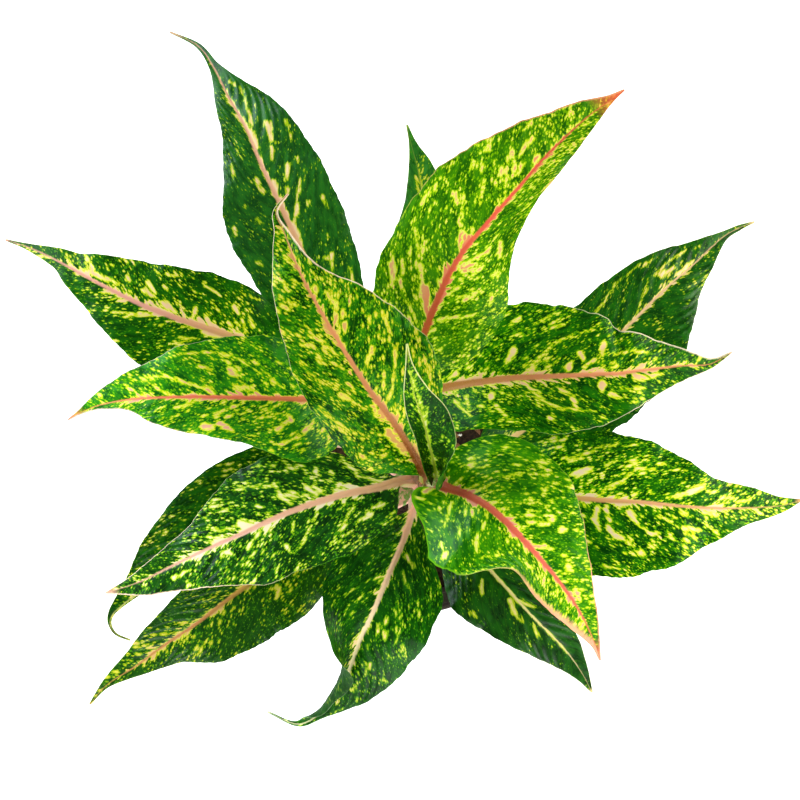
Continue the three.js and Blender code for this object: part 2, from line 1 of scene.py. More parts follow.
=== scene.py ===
"""Looks of a potted Chinese evergreen: variegated leaves on two stems in a round nursery pot of soil.

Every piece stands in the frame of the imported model, in metres, +Z up. The leaves follow the stations
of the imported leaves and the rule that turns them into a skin. Their margins are brought onto the
outline that shows from above, and a much finer grid holds the midrib, the veins and the waves that a
coarse solid can't.
"""

import logging
import math
from collections.abc import Sequence
from dataclasses import dataclass, field, replace
from enum import Enum
from functools import reduce

import bmesh
import bpy
import numpy as np
from mathutils import Matrix, Vector, noise


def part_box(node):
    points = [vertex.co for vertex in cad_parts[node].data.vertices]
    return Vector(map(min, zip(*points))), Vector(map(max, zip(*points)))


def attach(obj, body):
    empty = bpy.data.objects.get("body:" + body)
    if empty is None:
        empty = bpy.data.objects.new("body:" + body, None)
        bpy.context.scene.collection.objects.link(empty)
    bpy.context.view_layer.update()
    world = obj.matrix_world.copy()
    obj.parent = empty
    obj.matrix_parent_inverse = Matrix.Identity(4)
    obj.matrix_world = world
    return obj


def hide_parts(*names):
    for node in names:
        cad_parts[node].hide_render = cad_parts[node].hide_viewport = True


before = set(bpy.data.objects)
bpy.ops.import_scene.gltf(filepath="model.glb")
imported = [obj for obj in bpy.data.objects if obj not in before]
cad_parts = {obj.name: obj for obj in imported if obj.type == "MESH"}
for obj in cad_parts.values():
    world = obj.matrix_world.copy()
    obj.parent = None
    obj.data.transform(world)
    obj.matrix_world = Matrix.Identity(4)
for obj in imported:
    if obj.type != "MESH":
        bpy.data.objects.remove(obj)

log = logging.getLogger("evergreen")

Socket = bpy.types.NodeSocket
Faces = list[tuple[int, ...]]

MM = 0.001
BODY = "root"

# The eye of the photo, straight above the plant, in mm. Leaf stations are read from it.
EYE = (-3.6, 37.4, 1480.0)
READING_HEIGHT = 280.0


# ---- small tools ---------------------------------------------------------------------------------


def linear(code: str) -> tuple[float, float, float, float]:
    """Turns an sRGB hex code into the linear colour that Blender's nodes take.

    Args:
        code: colour as "#rrggbb".

    Returns:
        Red, green, blue and alpha, linear.
    """
    shares = [int(code[i : i + 2], 16) / 255 for i in (1, 3, 5)]
    red, green, blue = (s / 12.92 if s <= 0.04045 else ((s + 0.055) / 1.055) ** 2.4 for s in shares)
    return red, green, blue, 1.0


def add_node(
    tree: bpy.types.NodeTree, kind: str, feeds: dict | None = None, **settings: object
) -> bpy.types.Node:
    """Adds one node, with its settings and links.

    Args:
        tree: node tree that the node goes into.
        kind: Blender's name of the node's type.
        feeds: input socket, by name or number, to the socket that feeds it or to its value.
        settings: options of the node itself.

    Returns:
        The new node.
    """
    node = tree.nodes.new(kind)
    for option, value in settings.items():
        setattr(node, option, value)
    for socket, value in (feeds or {}).items():
        if isinstance(value, bpy.types.NodeSocket):
            tree.links.new(value, node.inputs[socket])
        else:
            node.inputs[socket].default_value = value
    return node


def new_object(
    name: str, points: np.ndarray, faces: Sequence[Sequence[int]], sharp_angle: float | None = None
) -> bpy.types.Object:
    """Makes a smooth-shaded mesh object.

    Args:
        name: name of the piece.
        points: its vertices, in mm.
        faces: its faces, as vertex numbers.
        sharp_angle: edges bent by more than this many degrees stay sharp.

    Returns:
        The object, linked to the scene.
    """
    mesh = bpy.data.meshes.new(name)
    mesh.from_pydata((np.asarray(points) * MM).tolist(), [], [tuple(map(int, f)) for f in faces])
    mesh.polygons.foreach_set("use_smooth", np.ones(len(mesh.polygons), bool))
    if sharp_angle is not None:
        mesh.set_sharp_from_angle(angle=math.radians(sharp_angle))
    mesh.update()
    made = bpy.data.objects.new(name, mesh)
    bpy.context.scene.collection.objects.link(made)
    return made


def set_values(mesh: bpy.types.Mesh, name: str, values: np.ndarray) -> None:
    """Stores one number or one vector for each vertex.

    Args:
        mesh: mesh that gets them.
        name: name that the materials read them by.
        values: array of n numbers or of n vectors.
    """
    vector = values.ndim == 2
    attribute = mesh.attributes.new(name, "FLOAT_VECTOR" if vector else "FLOAT", "POINT")
    attribute.data.foreach_set("vector" if vector else "value", values.astype(np.float32).ravel())


def seat(piece: bpy.types.Object, slot: str, material: bpy.types.Material, *nodes: str) -> None:
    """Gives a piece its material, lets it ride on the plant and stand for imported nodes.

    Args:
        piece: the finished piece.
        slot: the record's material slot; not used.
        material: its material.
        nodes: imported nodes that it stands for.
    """
    piece.data.materials.append(material)
    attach(piece, BODY)
    if nodes:
        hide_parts(*nodes)
    log.info("%s: %d faces", piece.name, len(piece.data.polygons))


def smooth_step(low: float, high: float, values: np.ndarray) -> np.ndarray:
    """Rises smoothly from 0 at low to 1 at high."""
    share = np.clip((values - low) / (high - low), 0, 1)
    return share * share * (3 - 2 * share)


def ring_faces(rings: int, sides: int) -> Faces:
    """Quads between rings of points that follow each other.

    Args:
        rings: number of rings.
        sides: points in each ring.

    Returns:
        The faces, as point numbers.
    """
    return [
        (r * sides + k, r * sides + n, (r + 1) * sides + n, (r + 1) * sides + k)
        for r in range(rings - 1)
        for k, n in enumerate([*range(1, sides), 0])
    ]


def turned(profile: Sequence[tuple[float, float]], sides: int) -> tuple[np.ndarray, Faces]:
    """Turns a profile about the Z axis into a closed skin.

    Args:
        profile: (radius, height) pairs, from the axis at the bottom round to the axis.
        sides: number of sides.

    Returns:
        Points and faces.
    """
    angles = np.linspace(0, 2 * math.pi, sides, endpoint=False)
    rings = profile[1:-1]
    points = [(r * math.cos(a), r * math.sin(a), z) for r, z in rings for a in angles]
    bottom, top = len(points), len(points) + 1
    points += [(0, 0, profile[0][1]), (0, 0, profile[-1][1])]
    last = (len(rings) - 1) * sides
    faces = ring_faces(len(rings), sides)
    for k, n in enumerate([*range(1, sides), 0]):
        faces += [(bottom, n, k), (top, last + k, last + n)]
    return np.array(points), faces


def rounded(corners: Sequence[tuple[float, float, float]], steps: int = 5) -> list[tuple[float, float]]:
    """Rounds the corners of a profile.

    Args:
        corners: (radius, height, rounding) of each corner; a rounding of 0 leaves it sharp.
        steps: segments in each rounding.

    Returns:
        The profile as (radius, height) pairs.
    """
    profile = []
    for i, (x, y, size) in enumerate(corners):
        if size == 0:
            profile.append((x, y))
            continue
        here = Vector((x, y))
        ends = [here + (Vector(corners[j][:2]) - here).normalized() * size for j in (i - 1, i + 1)]
        for k in range(steps + 1):
            u = k / steps
            point = ends[0] * (1 - u) ** 2 + here * 2 * u * (1 - u) + ends[1] * u**2
            profile.append((point.x, point.y))
    return profile


# ---- finishes ------------------------------------------------------------------------------------


@dataclass(frozen=True)
class Gloss:
    """How a surface shines."""

    roughness: float = 0.5
    ior: float = 1.5
    specular: float = 0.5


class Recipe:
    """One material in the making: its shader, and the few kinds of node that its colours are mixed from."""

    def __init__(self, name: str, gloss: Gloss) -> None:
        """Starts the material with a Principled shader.

        Args:
            name: name of the real substance.
            gloss: how its surface shines.
        """
        self.material = bpy.data.materials.new(name)
        self.material.use_nodes = True
        self.tree = self.material.node_tree
        self.tree.nodes.clear()
        feeds = {"Roughness": gloss.roughness, "IOR": gloss.ior, "Specular IOR Level": gloss.specular}
        self.shader = add_node(self.tree, "ShaderNodeBsdfPrincipled", feeds)
        add_node(self.tree, "ShaderNodeOutputMaterial", {"Surface": self.shader.outputs["BSDF"]})

    def feed(self, socket: str, value: Socket) -> None:
        """Links a value to one of the shader's sockets."""
        self.tree.links.new(value, self.shader.inputs[socket])

    def place(self) -> Socket:
        """Place on the piece, in metres."""
        return add_node(self.tree, "ShaderNodeTexCoord").outputs["Object"]

    def held(self, name: str, output: str = "Vector") -> Socket:
        """A value that the piece's mesh holds."""
        return add_node(self.tree, "ShaderNodeAttribute", attribute_name=name).outputs[output]

    def parts(self, name: str) -> list[Socket]:
        """The three parts of a vector that the piece's mesh holds."""
        return list(add_node(self.tree, "ShaderNodeSeparateXYZ", {0: self.held(name)}).outputs)[:3]

    def math(self, operation: str, *terms: Socket | float) -> Socket:
        """Works out one value from up to three others."""
        return add_node(self.tree, "ShaderNodeMath", dict(enumerate(terms)), operation=operation).outputs[0]

    def sum_of(self, *terms: Socket | float) -> Socket:
        """Multiplies the first two terms and adds the third one."""
        return self.math("MULTIPLY_ADD", *terms)

    def highest(self, *values: Socket) -> Socket:
        """Keeps the highest of several values."""
        return reduce(lambda first, second: self.math("MAXIMUM", first, second), values)

    def spread(self, value: Socket, low: float, high: float, start: float = 0, end: float = 1) -> Socket:
        """Maps low to high on to start to end."""
        feeds = {"Value": value, "From Min": low, "From Max": high, "To Min": start, "To Max": end}
        return add_node(self.tree, "ShaderNodeMapRange", feeds).outputs[0]

    def mixed(self, share: Socket, under: Socket | str, over: Socket | str) -> Socket:
        """Lays one colour, a socket or a hex code, over another one."""
        under, over = (linear(colour) if isinstance(colour, str) else colour for colour in (under, over))
        feeds = {"Factor": share, "A": under, "B": over}
        return add_node(self.tree, "ShaderNodeMix", feeds, data_type="RGBA").outputs["Result"]

    def vector(self, operation: str, *terms: Socket | tuple[float, float, float]) -> Socket:
        """Works out one place from up to three others."""
        feeds = dict(enumerate(terms))
        return add_node(self.tree, "ShaderNodeVectorMath", feeds, operation=operation).outputs[0]

    def noise(
        self,
        place: Socket,
        scale: float,
        detail: float,
        roughness: float = 0.5,
        distortion: float = 0.0,
        output: str = "Fac",
    ) -> Socket:
        """Adds a noise.

        Args:
            place: where it is read.
            scale: how many of its lumps lie in one unit of place.
            detail: octaves of finer noise.
            roughness: strength of each finer octave.
            distortion: how far it is stirred.
            output: "Fac" for one value from 0 to 1, "Color" for three.

        Returns:
            The noise.
        """
        feeds = {"Vector": place, "Scale": scale, "Detail": detail}
        feeds |= {"Roughness": roughness, "Distortion": distortion}
        return add_node(self.tree, "ShaderNodeTexNoise", feeds).outputs[output]

    def relief(self, height: Socket, strength: float, depth: float) -> None:
        """Raises the surface by a height that spans depth, in mm."""
        feeds = {"Strength": strength, "Distance": depth * MM, "Height": height}
        self.feed("Normal", add_node(self.tree, "ShaderNodeBump", feeds).outputs["Normal"])


@dataclass(frozen=True)
class Mottle:
    """One layer of a leaf's pale spots, which lie along its veins.

    across and along are the distances between spots in mm, level is how rare the spots are, crowding how
    much they gather in some parts of the blade, and depth how pale they get.
    """

    across: float
    along: float
    level: float
    crowding: float
    depth: float


@dataclass(frozen=True)
class Grain:
    """A noise drawn out along the veins: its size across and along them in mm, and its octaves."""

    across: float
    along: float
    detail: float


DRIFTS = Grain(8, 24, 2)
TEETH = Grain(1.9, 6.0, 3)
GROUND = Grain(4, 9, 5)
RIB_CELLS = Grain(0.9, 0.9, 3)
STALK_MOTTLE = Grain(2.4, 9, 2)

RAGGED_EDGE = 1.6  # mm that single cells shift a spot's edge
SPOT_SIZES = 0.55  # how much the spots of a layer differ in size
TIP_NARROWING = 2.5  # mm that the midrib's fringe draws in towards the tip
LEAF_IOR = 1.45  # of the waxy cuticle


@dataclass(frozen=True)
class LeafSkin:
    """Living leaf under a waxy cuticle, variegated by cells without chlorophyll.

    The cuticle gives the blade a soft bluish sheen. The marks are yellow-green where green tissue lies
    under pale tissue, and cream to pink where the whole blade is pale, as along the midrib. marked is how
    much more than usual the blade is marked, gather how much more so near the midrib, blush how pink its
    cream is, feather how far the midrib's fringe reaches, and tip_reach the length of the coloured tip.
    """

    deep: str
    green: str
    lime: str = "#529a02"
    yellow: str = "#bed016"
    pale: str = "#e8e04e"
    cream: str = "#f2d08c"
    rib_base: str = "#b5713a"
    rib_tip: str = "#e0a184"
    rim: str = "#a5b648"
    stalk: str = "#e6b0a0"
    stalk_green: str = "#7d9c52"
    back: str = "#7f9f68"
    fleck: Mottle = Mottle(across=1.2, along=2.0, level=0.08, crowding=0.6, depth=0.5)
    speckle: Mottle = Mottle(across=1.5, along=3.3, level=0.19, crowding=1.3, depth=0.4)
    blotch: Mottle = Mottle(across=3.6, along=8.0, level=0.28, crowding=1.2, depth=0.6)
    gather: float = 0.05
    marked: float = 0.0
    blush: float = 0.35
    feather: float = 2.4
    rib_width: float = 1.0
    tip_reach: float = 9.0
    vein_show: float = 0.16
    roughness: float = 0.3
    sheen: float = 0.1

    def material(self, node: str) -> bpy.types.Material:
        """Makes the leaf's material.

        Args:
            node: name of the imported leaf.

        Returns:
            The material, which reads the values that the leaf's mesh holds.
        """
        paint = LeafPaint(f"waxy variegated {node}", self)
        colour = paint.blade()
        for coat in (paint.marked, paint.ribbed, paint.rimmed, paint.backed, paint.stalked):
            colour = coat(colour)
        paint.feed("Base Color", colour)
        paint.polish()
        return paint.material


class LeafPaint(Recipe):
    """Colours and cuticle of one leaf, laid over each other from the green ground up."""

    def __init__(self, name: str, skin: LeafSkin) -> None:
        """Reads what the leaf's mesh holds and adds the noises that several coats share.

        Args:
            name: name of the real substance.
            skin: the leaf's colours and marks.
        """
        super().__init__(name, Gloss(skin.roughness, LEAF_IOR, skin.sheen))
        self.skin = skin
        self.vein = self.held("vein")
        self.past_rib, self.to_rim, self.on_stalk = self.parts("place")
        self.along, self.underside, self.density = self.parts("tone")
        self.outside, self.lateral, self.to_tip = self.parts("accent")
        # Spots have ragged edges, because they follow single cells.
        ragged = self.noise(self.vein, 0.9, 2, output="Color")
        self.torn = self.vector("MULTIPLY_ADD", ragged, (RAGGED_EDGE, RAGGED_EDGE, 0), self.vein)
        self.drift, self.teeth, self.ground = (self.grain(size) for size in (DRIFTS, TEETH, GROUND))

    def grain(self, size: Grain) -> Socket:
        """Adds a noise that is drawn out along the veins, from 0 to 1."""
        factors = (1 / size.across, 1 / size.along, 1 + 1 / size.along)
        return self.noise(self.vector("MULTIPLY", self.vein, factors), 1, size.detail, 0.6, 0.2)

    def spots(self, layer: Mottle) -> Socket:
        """Adds one layer of separate spots, each with a size of its own.

        Args:
            layer: their spacing, number and depth.

        Returns:
            How pale the blade is: 0 at a spot's edge and above it inside.
        """
        place = self.vector("MULTIPLY", self.torn, (1 / layer.across, 1 / layer.along, 0))
        feeds = {"Vector": place, "Scale": 1.0}
        cells = add_node(self.tree, "ShaderNodeTexVoronoi", feeds, voronoi_dimensions="2D").outputs
        size = add_node(self.tree, "ShaderNodeSeparateColor", {0: cells["Color"]}).outputs[0]
        value = self.math("SUBTRACT", self.density, cells["Distance"])
        value = self.sum_of(size, SPOT_SIZES, value)
        value = self.sum_of(self.drift, layer.crowding, value)
        return self.sum_of(value, layer.depth, -(0.5 * layer.crowding + layer.level) * layer.depth)

    def fringes(self) -> list[Socket]:
        """Fringes of the midrib and of the pale streaks, with teeth that run out along the veins."""
        reach = self.skin.feather
        narrow = self.sum_of(self.spread(self.along, 0.72, 0.92), TIP_NARROWING, self.past_rib)
        rib_edge = self.sum_of(self.drift, 4 * reach, self.sum_of(self.teeth, 5 * reach, -4.4 * reach))
        streak_edge = self.sum_of(self.teeth, 4.6, -2.1)
        pairs = ((rib_edge, narrow), (streak_edge, self.outside))
        return [self.sum_of(self.math("SUBTRACT", edge, gap), 0.15, 0.0) for edge, gap in pairs]

    def blade(self) -> Socket:
        """Deep green with brighter drifts and flecks, and faint lighter lines over the lateral veins."""
        skin = self.skin
        colour = self.mixed(self.spread(self.ground, 0.42, 0.6), skin.deep, skin.green)
        flecks = self.spread(self.spots(skin.fleck), -0.02, 0.04, 0, 0.95)
        colour = self.mixed(flecks, colour, skin.lime)
        line = self.math("PINGPONG", self.lateral, VEIN_PITCH / 2)
        return self.mixed(self.spread(line, 0.1, 0.6, skin.vein_show, 0), colour, skin.lime)

    def marked(self, colour: Socket) -> Socket:
        """Lays the marks over the blade, from a green-yellow edge to a cream middle."""
        skin = self.skin
        marks = self.highest(self.spots(skin.speckle), self.spots(skin.blotch), *self.fringes())
        edges = ((skin.lime, -0.07, -0.01), (skin.yellow, -0.005, 0.025), (skin.pale, 0.05, 0.11))
        for tone, low, high in edges:
            colour = self.mixed(self.spread(marks, low, high), colour, tone)
        blush = self.spread(self.past_rib, 1, 9, skin.blush, skin.blush * 0.15)
        cream = self.mixed(blush, skin.cream, skin.rib_tip)
        return self.mixed(self.spread(marks, 0.12, 0.2), colour, cream)

    def ribbed(self, colour: Socket) -> Socket:
        """Lays the midrib over the blade, with paler cells in it, and colours the tip."""
        skin = self.skin
        core = self.math("SUBTRACT", self.past_rib, self.sum_of(self.teeth, 1.0, -0.5))
        rib = self.mixed(self.spread(self.along, 0.08, 0.5), skin.rib_base, skin.rib_tip)
        cells = self.spread(self.grain(RIB_CELLS), 0.45, 0.7, 0, 0.4)
        rib = self.mixed(cells, rib, skin.rib_tip)
        colour = self.mixed(self.spread(core, -0.7, 0.1, 0.95, 0), colour, rib)
        tip = self.spread(self.to_tip, skin.tip_reach * 0.3, skin.tip_reach, 0.85, 0)
        return self.mixed(tip, colour, skin.rib_tip)

    def rimmed(self, colour: Socket) -> Socket:
        """Draws the margin's line, which has no green cells."""
        rim = self.mixed(self.spread(self.along, 0.3, 0.65), self.skin.lime, self.skin.rim)
        edge = self.sum_of(self.teeth, -1.6, self.to_rim)
        return self.mixed(self.spread(edge, -0.3, 0.5, 0.9, 0), colour, rim)

    def backed(self, colour: Socket) -> Socket:
        """Makes the underside paler and duller."""
        return self.mixed(self.math("MULTIPLY", self.underside, 0.72), colour, self.skin.back)

    def stalked(self, colour: Socket) -> Socket:
        """Colours the stalk: pink to cream at its top, mottled with green below."""
        mottle = self.spread(self.grain(STALK_MOTTLE), 0.4, 0.52)
        green = self.math("MULTIPLY", self.on_stalk, mottle)
        colour = self.mixed(self.on_stalk, colour, self.skin.stalk)
        return self.mixed(self.spread(green, 0.6, 0.95), colour, self.skin.stalk_green)

    def polish(self) -> None:
        """Adds the cuticle's fine veins and cells, and its uneven sheen."""
        fine = self.math("PINGPONG", self.lateral, 0.55)
        self.relief(self.sum_of(fine, 0.35, self.ground), 0.35, 0.25)
        base = self.skin.roughness
        dull = self.sum_of(self.underside, 0.3, self.spread(self.ground, 0.3, 0.7, base - 0.05, base + 0.06))
        self.feed("Roughness", self.highest(dull, self.spread(self.to_rim, 1, 2, 0.7, 0)))


@dataclass(frozen=True)
class GrainFinish:
    """A finish of two tones that a fine noise mixes, with a matching relief.

    grain is the size of its grain in mm, cloud how many grains wide its slow changes of tone are, and
    depth the height of its relief in mm.
    """

    name: str
    dark: str
    light: str
    grain: float
    depth: float
    gloss: Gloss
    contrast: float = 0.2
    cloud: float = 14

    def material(self) -> bpy.types.Material:
        """Makes the material."""
        recipe = Recipe(self.name, self.gloss)
        place = recipe.place()
        grain = recipe.noise(place, 1 / (self.grain * MM), 3, 0.6)
        cloud = recipe.noise(place, 1 / (self.grain * self.cloud * MM), 2)
        mask = recipe.spread(recipe.math("ADD", grain, cloud), 1 - self.contrast, 1 + self.contrast)
        recipe.feed("Base Color", recipe.mixed(mask, self.dark, self.light))
        recipe.relief(grain, 0.6, self.depth)
        return recipe.material


@dataclass(frozen=True)
class StemSkin:
    """Green cane of an old shoot: pale streaks run up it, and each leaf scar is a brown ring."""

    green: str = "#86a04e"
    pale: str = "#d8d3a0"
    scar: str = "#7b5c3a"
    gloss: Gloss = Gloss(roughness=0.45, ior=1.45)
    streaks_per_metre: tuple[float, float, float] = (500, 500, 90)

    def material(self) -> bpy.types.Material:
        """Makes the material, which reads how near each point is to a leaf scar."""
        recipe = Recipe("green cane with leaf scars", self.gloss)
        place = recipe.vector("MULTIPLY", recipe.place(), self.streaks_per_metre)
        streaks = recipe.noise(place, 1, 3)
        colour = recipe.mixed(recipe.spread(streaks, 0.42, 0.6), self.green, self.pale)
        recipe.feed("Base Color", recipe.mixed(recipe.held("scar", "Fac"), colour, self.scar))
        recipe.relief(streaks, 0.4, 0.3)
        return recipe.material


# Polypropylene, injection-moulded: dull, with a fine spark-eroded grain and a film of dust.
POT_PLASTIC = GrainFinish(
    "moulded polypropylene", "#1f1713", "#33271f", 0.5, 0.05, Gloss(roughness=0.48, ior=1.49), 0.35
)
# Peat and composted bark: crumbly and almost without shine.
PEAT = GrainFinish("moist peat mix", "#1c120b", "#3f2b1c", 1.4, 0.6, Gloss(roughness=0.95, specular=0.2))
BARK = GrainFinish("bark chips", "#4a2f1c", "#8a6240", 1.0, 0.4, Gloss(roughness=0.85, specular=0.25))
PERLITE = GrainFinish("expanded perlite", "#cfc9bb", "#f2efe6", 0.6, 0.3, Gloss(roughness=0.9, specular=0.2))

# Youngest leaves: light green, with salmon veins and margins.
BRIGHT = LeafSkin(
    deep="#1f5e00", green="#3f8800", lime="#74b200", yellow="#c8de0a", pale="#e6e23e", blush=0.6, marked=0.03
)
# Leaves of middle age: full green, richly marked.
FRESH = LeafSkin(
    deep="#043f00", green="#1d6f00", lime="#56a000", yellow="#cadc0d", pale="#efec55", marked=0.03
)
# Oldest leaves, in the shade of the others: dark green with few and duller marks.
DARK = LeafSkin(deep="#053200", green="#145601", lime="#478401", yellow="#a9bc0a", pale="#d6ce47")


# ---- leaves --------------------------------------------------------------------------------------


class Column(Enum):
    """Columns of a table of stations, in the order in which they are stored."""

    X = 0
    Y = 1
    Z = 2
    LEFT = 3
    RIGHT = 4
    FOLD = 5
    ROLL = 6
    CURL_LEFT = 7
    CURL_RIGHT = 8
    RIB_HALF_WIDTH = 9
    RIB_DEPTH = 10
    HEAD_X = 11
    HEAD_Y = 12
    LOBE_LEFT = 13
    LOBE_RIGHT = 14
    WAVE = 15


HEADING = slice(Column.HEAD_X.value, Column.HEAD_Y.value + 1)


class Side(Enum):
    """The two halves of a leaf, as the sign of the sideways direction."""

    LEFT = -1
    RIGHT = 1


@dataclass(frozen=True)
class Cane:
    """One stem, from its foot in the soil to the node of its youngest leaf, in mm."""

    node: str
    foot: tuple[float, float, float]
    top: tuple[float, float, float]
    foot_radius: float
    top_radius: float
    scars: tuple[float, ...]

    def axis(self, height: float) -> Vector:
        """Point on the axis at one height."""
        share = (height - self.foot[2]) / (self.top[2] - self.foot[2])
        return Vector(self.foot).lerp(Vector(self.top), share)

    def radius(self, height: float) -> float:
        """Radius at one height."""
        share = (height - self.foot[2]) / (self.top[2] - self.foot[2])
        return self.foot_radius + (self.top_radius - self.foot_radius) * share


CANE_A = Cane("stem_a", (9, -7, 72), (14, -4, 250), 8.5, 3.8, (127, 134))
CANE_B = Cane("stem_b", (-2, 33, 72), (-4, 42, 230), 8, 4.8, (128, 138))

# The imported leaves' rule, in mm and degrees.
GAP = 0.3  # between a leaf's foot and its cane
SOLID_THICKNESS = 0.9
TIP_HALF_WIDTH = 0.5
RIB_HALF_WIDTH = (3.0, 0.7)  # at the blade's base and tip
RIB_DEPTH = (3.2, 0.2)
CUP = -22.0  # bend of each half of the blade, downwards
SHEATH = {"half_width": 7.5, "curl": 48.0, "rib_half_width": 4.5, "rib_depth": 1.2}
PETIOLE = {"half_width": 3.4, "curl": 12.0, "rib_half_width": 3.2, "rib_depth": 3.0}
PETIOLE_STOPS = (0, 0.22, 0.48, 0.76)  # shares of the stalk's curve
SHEATH_SHARE = 0.42  # of the stalk
STALK_PULL = (0.42, 0.32)  # how far its curve leaves the cane and meets the blade straight
CREASE_WIDTH = 1.6  # width of the keel's root, as a share of the midrib's
FULL_RIPPLE_REACH = 14.0  # half blade from which its ripple is full

# What the leaves have beyond that, in mm unless it is a share.
FULLNESS = 0.45  # how far each margin reaches past its stations
FULLNESS_TAPER = (4.0, 28.0)  # distances from the tip between which it grows
FOOT_FADE = (0, 12)  # distances from the blade's base between which its margins start to waver
WAVER = ((23.0, 0.5), (11.0, 0.3), (5.2, 0.2))  # wavelengths of a margin's waver, with their shares
WAVER_WIDTH = 0.02  # share of the half blade that the waver takes or adds
WAVER_LIFT = 0.5
BLADE_THICKNESS = 0.55
RIM_THICKNESS = 0.16
RIM_START = 0.9  # share of the half blade from which it thins
RING_STEP = 0.95
RIB_COLUMNS = 5
BLADE_COLUMNS = 22
VALLEY_ROUNDING = 1.1
CHANNEL_DEPTH = 0.45
CHANNEL_HALF_WIDTH = 1.3
QUILT_HEIGHT = 0.22  # how far the blade puffs up between two lateral veins
VEIN_PITCH = 9.0
VEIN_SWEEP = 0.38  # how far a vein runs towards the tip, as a share of what is left of the blade
VEIN_BEND = 0.008  # how much a vein bends forward on its way out, per mm
RIB_BAND = ((0, 0.12, 0.75, 1), (2.4, 1.9, 0.7, 0.25))  # shares of the way, coloured half width
RIM_GROWTH = ((0, 0.5, 0.8), (0.2, 0.4, 1))  # shares of the way, shares of the pale margin's width
STALK_COLOUR = (-16, 7)  # distances from the blade's base between which the stalk's colour ends
FAR_OUTSIDE = 9.0  # any streak
SHARP_ANGLE = 50  # degrees
SEED = 1000  # of the leaves' random draws
SEED_STEP = 37  # from one leaf's pattern to the next one's
HALF_STEP = 9  # from the midrib to the pattern of each half
UV_MARGIN = 0.01
UV_GAP = 2


